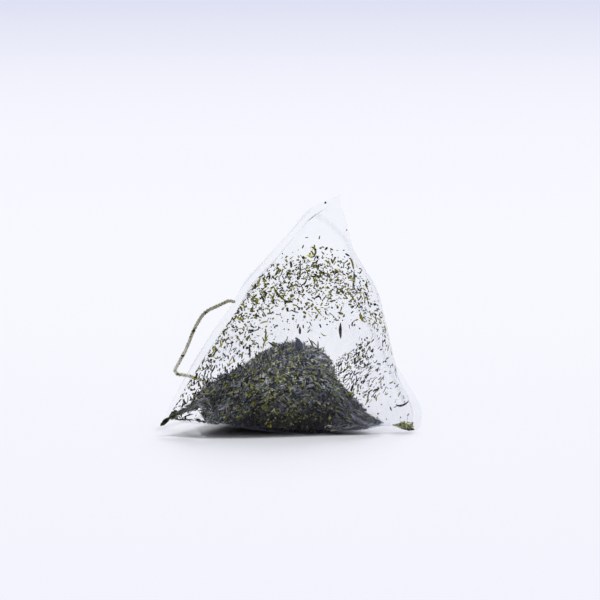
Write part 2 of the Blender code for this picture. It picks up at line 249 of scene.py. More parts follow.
def film_material():
    """Clear film: a thin milky veil that thickens where it is seen edge on, a fine weave, and a soft gloss; painted
    highlights along its folds, and painted shade where the veil is taken away under the bag.
    """
    m, nt, out = new_material("film")
    L = nt.links.new
    uv = node(nt, "ShaderNodeUVMap", uv_map="film_mm")
    split = node(nt, "ShaderNodeSeparateXYZ")
    L(uv.outputs["UV"], split.inputs[0])

    def threads(socket, per_mm):
        a = node(nt, "ShaderNodeMath", operation="MULTIPLY")
        L(socket, a.inputs[0])
        a.inputs[1].default_value = per_mm * 2 * math.pi
        b = node(nt, "ShaderNodeMath", operation="COSINE")
        L(a.outputs[0], b.inputs[0])
        return b.outputs[0]

    weave = node(nt, "ShaderNodeMath", operation="MAXIMUM")
    L(threads(split.outputs["X"], 7.0), weave.inputs[0])
    L(threads(split.outputs["Y"], 7.0), weave.inputs[1])
    weld = node(nt, "ShaderNodeAttribute", attribute_name="weld")
    cloud = node(nt, "ShaderNodeTexNoise", Scale=0.22, Detail=3.0, Roughness=0.55)
    L(uv.outputs["UV"], cloud.inputs["Vector"])
    facing = node(nt, "ShaderNodeLayerWeight", Blend=0.5)
    edge = node(nt, "ShaderNodeMath", operation="POWER")
    L(facing.outputs["Facing"], edge.inputs[0])
    edge.inputs[1].default_value = 4.5
    # veil = edge + cloud + weld + weave + painted crease highlight + powder, mostly taken away under the bag as painted
    # shade
    calm = node(nt, "ShaderNodeAttribute", attribute_name="calm")
    less = node(nt, "ShaderNodeMath", operation="MULTIPLY_ADD")
    L(calm.outputs["Fac"], less.inputs[0])
    less.inputs[1].default_value = -0.82
    less.inputs[2].default_value = 1.0
    eased = node(nt, "ShaderNodeMath", operation="MULTIPLY")
    L(edge.outputs[0], eased.inputs[0])
    L(less.outputs[0], eased.inputs[1])
    s1 = node(nt, "ShaderNodeMath", operation="MULTIPLY_ADD")
    L(eased.outputs[0], s1.inputs[0])
    s1.inputs[1].default_value = 0.15
    s1.inputs[2].default_value = 0.003
    s2 = node(nt, "ShaderNodeMath", operation="MULTIPLY_ADD")
    L(cloud.outputs["Fac"], s2.inputs[0])
    s2.inputs[1].default_value = 0.016
    L(s1.outputs[0], s2.inputs[2])
    s3 = node(nt, "ShaderNodeMath", operation="MULTIPLY_ADD")
    L(weld.outputs["Fac"], s3.inputs[0])
    s3.inputs[1].default_value = 0.016
    L(s2.outputs[0], s3.inputs[2])
    s4 = node(nt, "ShaderNodeMath", operation="MULTIPLY_ADD")
    L(weave.outputs[0], s4.inputs[0])
    s4.inputs[1].default_value = 0.004
    L(s3.outputs[0], s4.inputs[2])

    bump = node(nt, "ShaderNodeBump", Strength=0.25, Distance=0.00004)
    mixed = node(nt, "ShaderNodeMath", operation="MULTIPLY_ADD")
    L(weave.outputs[0], mixed.inputs[0])
    mixed.inputs[1].default_value = 0.3
    wrinkle = node(nt, "ShaderNodeTexNoise", Scale=0.9, Detail=2.0)
    L(uv.outputs["UV"], wrinkle.inputs["Vector"])
    L(wrinkle.outputs["Fac"], mixed.inputs[2])
    L(mixed.outputs[0], bump.inputs["Height"])

    # fine powder clings to the inside, from the level that the tea was shaken up to
    powder = node(nt, "ShaderNodeAttribute", attribute_name="powder")
    mottle = node(nt, "ShaderNodeTexNoise", Scale=0.35, Detail=5.0, Roughness=0.65)
    L(uv.outputs["UV"], mottle.inputs["Vector"])
    s5 = node(nt, "ShaderNodeMath", operation="MULTIPLY")
    L(powder.outputs["Fac"], s5.inputs[0])
    L(mottle.outputs["Fac"], s5.inputs[1])
    s6 = node(nt, "ShaderNodeMath", operation="MULTIPLY_ADD")
    L(s5.outputs[0], s6.inputs[0])
    s6.inputs[1].default_value = 0.085
    L(s4.outputs[0], s6.inputs[2])
    # painted highlight: the veil thickens along the listed folds, as a light line
    crease_highlight = node(nt, "ShaderNodeAttribute", attribute_name="crease_highlight")
    s7 = node(nt, "ShaderNodeMath", operation="MULTIPLY_ADD", use_clamp=True)
    L(crease_highlight.outputs["Fac"], s7.inputs[0])
    s7.inputs[1].default_value = 0.05
    L(s6.outputs[0], s7.inputs[2])
    # painted shade: near the floor under the bag most of the veil is taken away, so the shade there reads darker
    shade_under_bag = node(nt, "ShaderNodeAttribute", attribute_name="shade_under_bag")
    veil_kept_in_shade = node(nt, "ShaderNodeMath", operation="MULTIPLY_ADD")
    L(shade_under_bag.outputs["Fac"], veil_kept_in_shade.inputs[0])
    veil_kept_in_shade.inputs[1].default_value = -0.8
    veil_kept_in_shade.inputs[2].default_value = 1.0
    s8 = node(nt, "ShaderNodeMath", operation="MULTIPLY")
    L(s7.outputs[0], s8.inputs[0])
    L(veil_kept_in_shade.outputs[0], s8.inputs[1])
    s4 = s8

    clear = node(nt, "ShaderNodeBsdfTransparent", Color=(0.9965, 0.997, 0.999, 1))
    body = node(nt, "ShaderNodeBsdfPrincipled")
    body.inputs["Base Color"].default_value = rgb(200, 207, 228)
    body.inputs["Roughness"].default_value = 0.32
    body.inputs["Specular IOR Level"].default_value = 0.45
    L(bump.outputs["Normal"], body.inputs["Normal"])
    through = node(nt, "ShaderNodeBsdfTranslucent", Color=rgb(214, 218, 236))
    both = node(nt, "ShaderNodeMixShader", Fac=0.45)
    L(body.outputs[0], both.inputs[1])
    L(through.outputs[0], both.inputs[2])
    mix = node(nt, "ShaderNodeMixShader")
    L(s4.outputs[0], mix.inputs["Fac"])
    L(clear.outputs[0], mix.inputs[1])
    L(both.outputs[0], mix.inputs[2])
    L(mix.outputs[0], out.inputs["Surface"])
    return m


# ------------------------------------------------------------------ mesh helpers
def mesh_object(name, verts, faces, mat, smooth=True, shift=True):
    mesh = bpy.data.meshes.new(name)
    v = (np.asarray(verts, float) + (SHIFT if shift else 0.0)) * MM
    mesh.from_pydata(v.tolist(), [], faces)
    mesh.materials.append(mat)
    if smooth:
        mesh.polygons.foreach_set("use_smooth", [True] * len(mesh.polygons))
    mesh.update()
    obj = bpy.data.objects.new(name, mesh)
    bpy.context.scene.collection.objects.link(obj)
    return obj


# ------------------------------------------------------------------ film
FINE = 1.0
N_AROUND, N_ALONG = int(224 * FINE) // 4 * 4, int(150 * FINE)


def stray_free(rows):
    """Faces of a tube of rings."""
    n = len(rows[0])
    return [
        (i * n + j, i * n + (j + 1) % n, (i + 1) * n + (j + 1) % n, (i + 1) * n + j)
        for i in range(len(rows) - 1)
        for j in range(n)
    ]


def tree_of(rows):
    v = np.asarray(rows).reshape(-1, 3)
    return BVHTree.FromPolygons(v.tolist(), stray_free(rows))


def loft_rows(inset, count_along, count_around):
    return [film_ring(v, around(v, count_around), inset) for v in np.linspace(0.01, 0.955, count_along)]


MIDDLE = Vector((1.5, 19.0, 12.0))  # a point well inside the bag
SKIN = tree_of(loft_rows(0.16, 80, 128))  # just inside the film
CORE = tree_of(loft_rows(0.24, 60, 96))


def kept_inside(verts, tree=CORE, reach=6.0):
    """Points that would stick out through the film are pressed back onto its inner side."""
    out = np.array(verts, float)
    flat = out.reshape(-1, 3)
    for i, p in enumerate(flat):
        near, normal, _, dist = tree.find_nearest(Vector(p), reach)
        if near is None:
            continue
        if (near - MIDDLE).dot(normal) < 0:
            normal = -normal
        if (Vector(p) - near).dot(normal) > 0:
            flat[i] = near
    return out


def ray(u, v):
    """The direction in which the camera sees pixel (u, v)."""
    side, up = (u - 300) / FOCUS, (300 - v) / FOCUS
    c, s = math.cos(ELEVATION), math.sin(ELEVATION)
    d = Vector((side, c + up * s, -s + up * c))
    return d.normalized()


def on_film(u, v, behind=0):
    """The point of the film, and its outward normal, that pixel (u, v) shows: the front layer, or one behind it."""
    d = ray(u, v)
    start = Vector(EYE)
    for _ in range(behind + 1):
        hit, normal, _, _ = SKIN.ray_cast(start, d)
        if hit is None:
            return None
        start = hit + d * 0.4
    if normal.dot(hit - MIDDLE) < 0:
        normal = -normal
    return np.array(hit), np.array(normal)


FILM_T = 0.07
CREASE_HIGHLIGHTS = [  # (line of pixels in the picture, half width in pixels, strength): painted highlights along folds in the front of the film
    ([(309, 211.5), (318, 216), (328, 222.5), (338, 231.5), (345.5, 240), (350, 251), (353, 262), (354, 280), (358, 300), (366, 318), (380, 346), (392, 374), (403, 400)], 1.9, 1.9),
    ([(354, 415), (362, 422), (372, 425), (389, 427)], 1.3, 6.0),
    ([(333, 418), (345, 423.5), (358, 426), (372, 427)], 1.3, 3.0),
    ([(340, 411), (350, 417), (362, 421)], 1.2, 2.2),
    ([(325, 424), (340, 428), (358, 428.5)], 1.2, 2.5),
]


def beside(uv, line):
    """Distance in pixels from points of the picture to a line of guide points."""
    q = smooth_line(line, 40)
    a, d = q[:-1], np.diff(q, axis=0)
    t = np.clip(((uv[:, None] - a) * d).sum(-1) / (d * d).sum(-1), 0, 1)
    return np.linalg.norm(uv[:, None] - a - t[..., None] * d, axis=-1).min(1)


def build_film(mat):
    """An outer and an inner skin with the film's thickness between them; the welded strips are solid."""
    strip = np.linspace(0, 1, 5)[:-1]
    flat = around(0.0, N_AROUND)
    c, s = np.cos(flat), np.sin(flat)
    r = (np.abs(c) ** 5 + np.abs(s) ** 5) ** (-1 / 5)
    x, y = np.clip(r * c, -1, 1), r * s
    outer, weld, vmm = [], [], []
    for t in strip:  # weld A, from its cut edge to its inner line
        outer.append(pick(EDGE_A, x) * (1 - t) + pick(SEAM_A, x) * t + y[:, None] * ACROSS_A * 0.09)
        weld.append(1.0)
        vmm.append(-2.0 * (1 - t))
    spaced = (1 - np.cos(np.linspace(0, math.pi, N_ALONG))) / 2
    shares = sorted({*np.round(0.5 * np.linspace(0, 1, N_ALONG) + 0.5 * spaced, 5), WELD_B_SHARE})
    for v in shares:
        outer.append(film_ring(v, around(v, N_AROUND)))
        weld.append(1.0 if v < 0.004 or v >= WELD_B_SHARE else 0.0)
        vmm.append(v * 58.0)
    held = [v for v in shares if 0.006 < v < 0.955]
    inner = [film_ring(v, around(v, N_AROUND), FILM_T) for v in held]
    weld += [0.0] * len(held)
    vmm += [v * 58.0 for v in held]
    n_out, n_in = len(outer), len(inner)
    points = np.array(outer + inner)
    n = N_AROUND
    faces = stray_free(outer)
    faces += [tuple(n_out * n + k for k in f[::-1]) for f in stray_free(inner)]
    quads = len(faces)
    faces += [tuple(range(n))[::-1], tuple(range((n_out - 1) * n, n_out * n))]
    faces += [tuple(range(n_out * n, (n_out + 1) * n)), tuple(range((n_out + n_in - 1) * n, (n_out + n_in) * n))[::-1]]
    verts = points.reshape(-1, 3)
    uv = pixels(verts)
    crease_highlight = np.zeros(len(verts))
    # painted highlight along the folds, only on the layer of film that the camera sees first
    for line, half, strength in CREASE_HIGHLIGHTS:
        low, high = np.min(line, 0) - 8, np.max(line, 0) + 8
        near = np.nonzero((uv >= low).all(1) & (uv <= high).all(1))[0]
        gap = beside(uv[near], line)
        near, gap = near[gap < 3 * half], gap[gap < 3 * half]
        for i, g in zip(near, gap):
            d = Vector(verts[i] - EYE)
            hit = SKIN.ray_cast(Vector(EYE), d.normalized())[0]
            if hit is None or d.length < (hit - Vector(EYE)).length + 1.0:
                crease_highlight[i] = max(crease_highlight[i], strength * math.exp(-((g / half) ** 2)))
    obj = mesh_object("film", verts, faces, mat)
    mesh = obj.data
    level = ease((43.0 - verts[:, 2] - 0.12 * verts[:, 0]) / 9.0) * (0.55 + 0.45 * ease((30.0 - verts[:, 2]) / 14.0))
    below = ease((19.0 - verts[:, 2]) / 7.0) * ease((17.0 - verts[:, 0]) / 5.0)  # here the leaf itself lies against the film
    level = level * (1 - 0.93 * below)
    # painted shade: the film near the floor under the bag, whose veil is mostly taken away to deepen the shade there
    shade_under_bag = ease((3.8 - verts[:, 2]) / 1.4) * ease((verts[:, 1] - 5.5) / 2.0) * ease((18.0 - verts[:, 0]) / 4.0)
    calm = ease((np.array([*([0.0] * 4), *shares, *held]) - 0.5) / 0.2)
    for name, values in (("powder", level), ("weld", np.repeat(np.array(weld), n)), ("crease_highlight", crease_highlight), ("calm", np.repeat(calm, n)), ("shade_under_bag", shade_under_bag)):
        mesh.attributes.new(name, "FLOAT", "POINT").data.foreach_set("value", values.astype(np.float32))
    layer = mesh.uv_layers.new(name="film_mm")
    loops = np.zeros(len(mesh.loops), np.int32)
    mesh.loops.foreach_get("vertex_index", loops)
    uvs = np.stack([np.linspace(0, 2 * TUBE_WIDTH, n, endpoint=False)[loops % n], np.array(vmm)[loops // n]], 1)
    body = uvs[: quads * 4].reshape(-1, 4, 2)
    closing = (body[:, :, 0].max(1) - body[:, :, 0].min(1)) > TUBE_WIDTH  # the faces that close the round
    body[closing, :, 0] = np.where(body[closing, :, 0] == 0, 2 * TUBE_WIDTH, body[closing, :, 0])
    layer.data.foreach_set("uv", uvs.astype(np.float32).ravel())
    return obj


film = build_film(film_material())


def spindles(name, at, way, normal, length, width, thick, bend, tones, mat, blunt=0.0, twist=0.0, press=True, sides=3):
    """Small closed leaf fragments: pointed or blunt ends, bent along their length, each in its own tone."""
    n = len(at)
    at, way, normal = (np.asarray(q, float) for q in (at, way, normal))
    way = way / np.linalg.norm(way, axis=1)[:, None]
    side = np.cross(normal, way)
    side /= np.linalg.norm(side, axis=1)[:, None] + 1e-9
    up = np.cross(way, side)
    l, w, t, b = (np.broadcast_to(np.asarray(q, float), n)[:, None] for q in (length, width, thick, bend))
    per = 2 * sides + 2
    verts = np.zeros((n, per, 3))
    verts[:, 0] = at - way * l * 0.5 - side * b
    verts[:, -1] = at + way * l * 0.5 - side * b
    for ring, (pos, fat) in enumerate(((-0.26 - 0.2 * blunt, 0.9), (0.2 + 0.26 * blunt, 1.0))):
        mid = at + way * l * pos + side * b * 0.3 * (1 - blunt)
        for q in range(sides):
            a = 2 * math.pi * q / sides + ring * twist + (math.pi / 2 if sides == 3 else 0)
            verts[:, 1 + ring * sides + q] = mid + side * w * 0.5 * fat * math.cos(a) + up * t * 0.5 * fat * math.sin(a)
    if press:
        verts = kept_inside(verts)
    verts[:, :, 2] = np.maximum(verts[:, :, 2], 0.015)
    base = []
    for q in range(sides):
        r = (q + 1) % sides
        base.append((0, 1 + r, 1 + q))
        base.append((1 + q, 1 + r, 1 + sides + r, 1 + sides + q))
        base.append((per - 1, 1 + sides + q, 1 + sides + r))
    faces = [tuple(i * per + k for k in f) for i in range(n) for f in base]
    obj = mesh_object(name, verts.reshape(-1, 3), faces, mat, smooth=False)
    colour = obj.data.attributes.new("tone", "FLOAT_COLOR", "POINT")
    c = np.ones((n, per, 4), np.float32)
    c[:, :, :3] = np.asarray(tones)[:, None, :3]
    colour.data.foreach_set("color", c.ravel())
    return obj


def lin(c):
    c = np.asarray(c, float) / 255.0
    return np.where(c <= 0.04045, c / 12.92, ((c + 0.055) / 1.055) ** 2.4)


def tones_of(rng, n, palette):
    """n colours from a palette of (weight, colour), each a little lighter or darker than its entry."""
    weight = np.array([p[0] for p in palette], float)
    colours = np.array([p[1] for p in palette], float)
    chosen = colours[rng.choice(len(palette), n, p=weight / weight.sum())]
    return lin(np.clip(chosen * (1 + rng.normal(0, 0.13, (n, 1))) + rng.normal(0, 2.5, (n, 3)), 4, 250))


def tone_material(name, streaks=1300.0, roughness=0.72, low=0.7, high=1.3, gloss=0.35, thin=0.0):
    """Dry leaf: the fragment's own colour, streaked and crumpled."""
    m, nt, out = new_material(name)
    L = nt.links.new
    tone = node(nt, "ShaderNodeAttribute", attribute_name="tone")
    place = node(nt, "ShaderNodeTexCoord")
    streak = node(nt, "ShaderNodeTexNoise", Scale=streaks, Detail=3.0, Roughness=0.6)
    L(place.outputs["Object"], streak.inputs["Vector"])
    darker = node(nt, "ShaderNodeMapRange")
    darker.inputs["From Min"].default_value = 0.3
    darker.inputs["From Max"].default_value = 0.7
    darker.inputs["To Min"].default_value = low
    darker.inputs["To Max"].default_value = high
    L(streak.outputs["Fac"], darker.inputs["Value"])
    scaled = node(nt, "ShaderNodeVectorMath", operation="SCALE")
    L(tone.outputs["Color"], scaled.inputs[0])
    L(darker.outputs["Result"], scaled.inputs["Scale"])
    p = node(nt, "ShaderNodeBsdfPrincipled")
    L(scaled.outputs["Vector"], p.inputs["Base Color"])
    p.inputs["Roughness"].default_value = roughness
    p.inputs["Specular IOR Level"].default_value = gloss
    bump = node(nt, "ShaderNodeBump", Strength=0.45, Distance=0.00005)
    L(streak.outputs["Fac"], bump.inputs["Height"])
    L(bump.outputs["Normal"], p.inputs["Normal"])
    glow = node(nt, "ShaderNodeBsdfTranslucent")
    L(scaled.outputs["Vector"], glow.inputs["Color"])
    both = node(nt, "ShaderNodeMixShader", Fac=thin)
    L(p.outputs[0], both.inputs[1])
    L(glow.outputs[0], both.inputs[2])
    L(both.outputs[0], out.inputs["Surface"])
    return m


# ------------------------------------------------------------------ thread: out of the weld, to a coil behind the bag, to the tag
THREAD_D = 0.7
COIL_X, COIL_Y, COIL_R, COIL_TURNS, TURN_PITCH = -10.0, 47.5, 3.85, 3.25, 0.75
TAG_X, TAG_Y, TAG_W, TAG_L, TAG_T = -4.5, 66.5, 16.0, 20.0, 0.5
EXIT_SHARE = -0.012
EXIT_AT = np.array([np.interp(EXIT_SHARE, SHARE, EDGE_A[:, k]) for k in range(3)])
RUN_A = np.array([np.interp(EXIT_SHARE + 0.03, SHARE, EDGE_A[:, k]) for k in range(3)]) - EXIT_AT
RUN_A /= np.linalg.norm(RUN_A)
INTO = MID_B - EXIT_AT
INTO -= RUN_A * INTO.dot(RUN_A)
INTO /= np.linalg.norm(INTO)
LOOP = [
    EXIT_AT + INTO * 0.35, EXIT_AT - INTO * 0.9 - np.array((0, 0, 0.2)), (-16.2, 12.2, 28.4), (-19.3, 12.8, 26.6), (-21.6, 13.1, 23.0), (-23.5, 13.3, 18.4),
    (-25.8, 13.6, 14.0), (-26.2, 14.4, 12.6), (-24.9, 15.8, 11.8), (-22.7, 18.9, 10.7), (-19.9, 23.0, 8.8), (-17.8, 27.0, 6.8),
    (-16.3, 31.5, 5.0), (-14.9, 37.0, 3.7), (-14.1, 41.0, 3.1), (-13.9, 44.6, 2.85),
]
loop = smooth_line(LOOP, 34)
turned = np.linspace(0, COIL_TURNS, int(COIL_TURNS * 16) + 1)
angle = math.pi - 2 * math.pi * turned
helix = np.stack([COIL_X + COIL_R * np.cos(angle), COIL_Y + COIL_R * np.sin(angle), 2.79 - TURN_PITCH * turned], 1)
end_guides = [helix[-1], (-7.6, 51.62, 0.36), (-6.2, 52.5, 0.36), (-5.2, 53.9, 0.36), (TAG_X, TAG_Y - TAG_L / 2 - 0.25, 0.36)]
tail = smooth_line(end_guides, 8)[1:]
path = np.vstack([loop, helix, tail])


def resampled(points, step):
    """The same curve with a point every step mm."""
    p = np.asarray(points, float)
    p = np.vstack([2 * p[0] - p[1], p, 2 * p[-1] - p[-2]])
    out = []
    for a, b, c, d in zip(p, p[1:], p[2:], p[3:]):
        for t in np.linspace(0, 1, 16, endpoint=False):
            out.append(0.5 * (2 * b + (c - a) * t + (2 * a - 5 * b + 4 * c - d) * t**2 + (3 * b - a - 3 * c + d) * t**3))
    out = np.array([*out, p[-2]])
    run = np.r_[0, np.cumsum(np.linalg.norm(np.diff(out, axis=0), axis=1))]
    at = np.linspace(0, run[-1], int(run[-1] / step) + 1)
    return np.stack([np.interp(at, run, out[:, k]) for k in range(3)], 1), float(run[-1])


def rope(name, points, radius, plies, pitch, mat, step=0.14, around_it=27):
    """A twisted cord: one closed tube whose section has a lobe for each ply and turns along the way."""
    line, total = resampled(points, step)
    tangent = np.gradient(line, axis=0)
    tangent /= np.linalg.norm(tangent, axis=1)[:, None]
    side = np.cross(tangent[0], (0.3, 0.2, 1.0))
    side /= np.linalg.norm(side)
    sides = []
    for t in tangent:
        side = side - t * side.dot(t)
        side /= np.linalg.norm(side)
        sides.append(side)
    sides = np.array(sides)
    ups = np.cross(tangent, sides)
    ply = radius / (1 + 1 / math.sin(math.pi / plies))
    centre = radius - ply
    a = np.linspace(0, 2 * math.pi, around_it, endpoint=False)
    rng = np.random.default_rng(11)
    lump = np.convolve(rng.normal(0, 1, len(line) + 40), np.ones(9) / 9, "same")[20:-20]
    rings = []
    for i, (p, s, u) in enumerate(zip(line, sides, ups)):
        turn = 2 * math.pi * i * step / pitch
        off = (a - turn + math.pi / plies) % (2 * math.pi / plies) - math.pi / plies
        inner = np.maximum(ply**2 - (centre * np.sin(off)) ** 2, 0)
        r = np.maximum(centre * np.cos(off) + np.sqrt(inner), radius * 0.5)
        r = r * (1 + 0.10 * lump[i] + 0.05 * rng.normal(0, 1, around_it))
        if i in (0, len(line) - 1):
            r = r * 0.6
        ring = p + s * (r * np.cos(a))[:, None] + u * (r * np.sin(a))[:, None]
        ring[:, 2] = np.maximum(ring[:, 2], 0.01)
        rings.append(ring)
    n = len(rings)
    faces = stray_free(rings)
    faces.append(tuple(range(around_it))[::-1])
    faces.append(tuple(range((n - 1) * around_it, n * around_it)))
    return mesh_object(name, np.array(rings).reshape(-1, 3), faces, mat), line, tangent, total


def cotton_material():
    m, nt, out = new_material("cotton")
    L = nt.links.new
    place = node(nt, "ShaderNodeTexCoord")
    spots = node(nt, "ShaderNodeTexNoise", Scale=900.0, Detail=4.0, Roughness=0.65)
    L(place.outputs["Object"], spots.inputs["Vector"])
    tone = ramp(nt, [(0.0, rgb(226, 222, 200)), (0.36, rgb(244, 241, 222)), (0.55, rgb(253, 251, 240)), (0.75, rgb(254, 253, 248))])
    L(spots.outputs["Fac"], tone.inputs["Fac"])
    dust = node(nt, "ShaderNodeTexNoise", Scale=1050.0, Detail=2.0, Roughness=0.5)
    L(place.outputs["Object"], dust.inputs["Vector"])
    where = ramp(nt, [(0.56, (0, 0, 0, 1)), (0.64, (1, 1, 1, 1))])
    L(dust.outputs["Fac"], where.inputs["Fac"])
    high = node(nt, "ShaderNodeSeparateXYZ")
    L(place.outputs["Object"], high.inputs[0])
    stain = node(nt, "ShaderNodeMapRange")  # steeped brown where it leaves the weld
    stain.inputs["From Min"].default_value = 0.018
    stain.inputs["From Max"].default_value = 0.029
    stain.inputs["To Max"].default_value = 0.6
    L(high.outputs["Z"], stain.inputs["Value"])
    aged = node(nt, "ShaderNodeMix", data_type="RGBA")
    L(stain.outputs["Result"], aged.inputs["Factor"])
    L(tone.outputs["Color"], aged.inputs["A"])
    aged.inputs["B"].default_value = rgb(150, 147, 108)
    col = node(nt, "ShaderNodeMix", data_type="RGBA")
    L(where.outputs["Color"], col.inputs["Factor"])
    L(aged.outputs["Result"], col.inputs["A"])
    col.inputs["B"].default_value = rgb(98, 96, 38)
    fibre = node(nt, "ShaderNodeTexNoise", Scale=5200.0, Detail=2.0)
    L(place.outputs["Object"], fibre.inputs["Vector"])
    bump = node(nt, "ShaderNodeBump", Strength=0.5, Distance=0.00004)
    L(fibre.outputs["Fac"], bump.inputs["Height"])
    p = node(nt, "ShaderNodeBsdfPrincipled")
    L(col.outputs["Result"], p.inputs["Base Color"])
    p.inputs["Roughness"].default_value = 0.9
    p.inputs["Sheen Weight"].default_value = 0.35
    p.inputs["Sheen Roughness"].default_value = 0.5
    L(bump.outputs["Normal"], p.inputs["Normal"])
    glow = node(nt, "ShaderNodeBsdfTranslucent")
    L(col.outputs["Result"], glow.inputs["Color"])
    both = node(nt, "ShaderNodeMixShader", Fac=0.55)
    L(p.outputs[0], both.inputs[1])
    L(glow.outputs[0], both.inputs[2])
    L(both.outputs[0], out.inputs["Surface"])
    return m


COTTON = cotton_material()
thread, thread_line, thread_way, thread_length = rope("thread_rope", path, THREAD_D / 2 * 1.12, 3, 2.3, COTTON)

# loose fibres along the thread
rng = np.random.default_rng(3)
FUZZ = 2600
i = rng.integers(6, len(thread_line) - 6, FUZZ)
t = thread_way[i]
across = np.cross(t, rng.normal(0, 1, (FUZZ, 3)))
across /= np.linalg.norm(across, axis=1)[:, None]
lean = t * rng.uniform(-1, 1, (FUZZ, 1)) * 1.3 + across
at = thread_line[i] + across * THREAD_D * 0.36
at[:, 2] = np.maximum(at[:, 2], 0.12)
lean[:, 2] = np.where(at[:, 2] < 0.8, np.abs(lean[:, 2]) * 0.3, lean[:, 2])
fuzz = spindles(
    "thread_fibres", at + lean / np.linalg.norm(lean, axis=1)[:, None] * 0.12, lean, across, rng.uniform(0.35, 1.15, FUZZ),
    rng.uniform(0.025, 0.06, FUZZ), 0.025, rng.normal(0, 0.05, FUZZ), np.tile(lin((250, 249, 240)), (FUZZ, 1)), tone_material("fibre", roughness=0.95, low=0.9, high=1.05), press=False,
)

# tea dust caught in the thread
i = rng.integers(8, int(len(thread_line) * 0.5), 150)
away = np.cross(thread_way[i], rng.normal(0, 1, (150, 3)))
away /= np.linalg.norm(away, axis=1)[:, None]
specks = spindles(
    "thread_dust", thread_line[i] + away * THREAD_D * 0.46, thread_way[i] + away * rng.normal(0, 0.4, (150, 1)), away, rng.uniform(0.2, 0.6, 150), rng.uniform(0.12, 0.26, 150), 0.12,
    0.0, tones_of(rng, 150, [(4, (36, 38, 14)), (5, (90, 92, 40)), (4, (134, 134, 76))]), tone_material("caught_dust", roughness=0.85), press=False, blunt=0.5,
)

# the tag: a strip of paper folded over the thread's end and glued to itself
def paper_material():
    m, nt, out = new_material("tag_paper")
    L = nt.links.new
    place = node(nt, "ShaderNodeTexCoord")
    pulp = node(nt, "ShaderNodeTexNoise", Scale=1500.0, Detail=5.0, Roughness=0.7)
    L(place.outputs["Object"], pulp.inputs["Vector"])
    tone = ramp(nt, [(0.3, rgb(235, 232, 224)), (0.5, rgb(239, 237, 231)), (0.7, rgb(243, 241, 237))])
    L(pulp.outputs["Fac"], tone.inputs["Fac"])
    fleck = node(nt, "ShaderNodeTexVoronoi", Scale=420.0)
    L(place.outputs["Object"], fleck.inputs["Vector"])
    spot = ramp(nt, [(0.05, (1, 1, 1, 1)), (0.085, (0, 0, 0, 1))])
    L(fleck.outputs["Distance"], spot.inputs["Fac"])
    col = node(nt, "ShaderNodeMix", data_type="RGBA")
    L(spot.outputs["Color"], col.inputs["Factor"])
    L(tone.outputs["Color"], col.inputs["A"])
    col.inputs["B"].default_value = rgb(226, 221, 206)
    p = node(nt, "ShaderNodeBsdfPrincipled")
    L(col.outputs["Result"], p.inputs["Base Color"])
    p.inputs["Roughness"].default_value = 0.85
    p.inputs["Specular IOR Level"].default_value = 0.3
    bump = node(nt, "ShaderNodeBump", Strength=0.3, Distance=0.00003)
    L(pulp.outputs["Fac"], bump.inputs["Height"])
    L(bump.outputs["Normal"], p.inputs["Normal"])
    L(p.outputs[0], out.inputs["Surface"])
    return m


def build_tag(mat):
    """One strip, folded at its far edge: two layers of paper, the thread's end held between them."""
    rows, cols = 60, 44
    half = TAG_W / 2
    paper, gap = 0.17, 0.13
    s = np.linspace(-1, 1, rows)  # along the strip: lower layer, fold, upper layer
    line = []
    for q in s:
        run = abs(q) * (TAG_L - 0.5)
        y = TAG_Y + TAG_L / 2 - 0.35 - run
        lift = gap / 2 + paper / 2
        if abs(q) < 0.05:
            a = (q / 0.05) * math.pi / 2
            y = TAG_Y + TAG_L / 2 - 0.35 + 0.2 * math.cos(a) - 0.0
            z = math.sin(a) * lift
        else:
            z = lift * (1 if q > 0 else -1)
        line.append((y, z))
    line = np.array(line)
    verts, faces = [], []
    for j in range(cols):
        x = np.linspace(-half, half, cols)[j]
        corner = max(0.0, abs(x) - (half - 1.6))
        for i, (y, z) in enumerate(line):
            near = y - (TAG_Y - TAG_L / 2)
            cut = 1.6 - math.sqrt(max(1.6**2 - corner**2, 0.0)) if corner > 0 else 0.0
            yy = max(y, TAG_Y - TAG_L / 2 + cut + 0.02)
            wave = 0.05 * math.sin(x * 0.33 + 0.6) * math.sin((yy - TAG_Y) * 0.21)
            held = math.exp(-((x / 0.9) ** 2)) * (1 if yy < TAG_Y - 3.5 else math.exp(-((yy - TAG_Y + 3.5) ** 2)))
            zz = 0.27 + z * (1 + 0.0 * held) + (wave if z > 0 else wave * 0.6)
            if z > 0:
                zz += 0.22 * held * 0.4
            verts.append((TAG_X + x, yy, min(max(zz, 0.09), 0.55)))
    n = len(line)
    for j in range(cols - 1):
        for i in range(n - 1):
            faces.append((j * n + i, j * n + i + 1, (j + 1) * n + i + 1, (j + 1) * n + i))
    obj = mesh_object("paper_tag", verts, faces, mat)
    solid = obj.modifiers.new("paper", "SOLIDIFY")
    solid.thickness = paper * MM
    solid.offset = 0
    return obj


tag = build_tag(paper_material())

# ------------------------------------------------------------------ tea: the heap, then its leaves
HEAP = [(161, 425), (172, 416), (200, 405), (225, 385), (240, 368), (260, 355), (275, 348), (290, 344), (310, 347), (325, 352), (335, 365), (345, 378), (352, 395), (362, 410), (370, 420), (380, 427)]


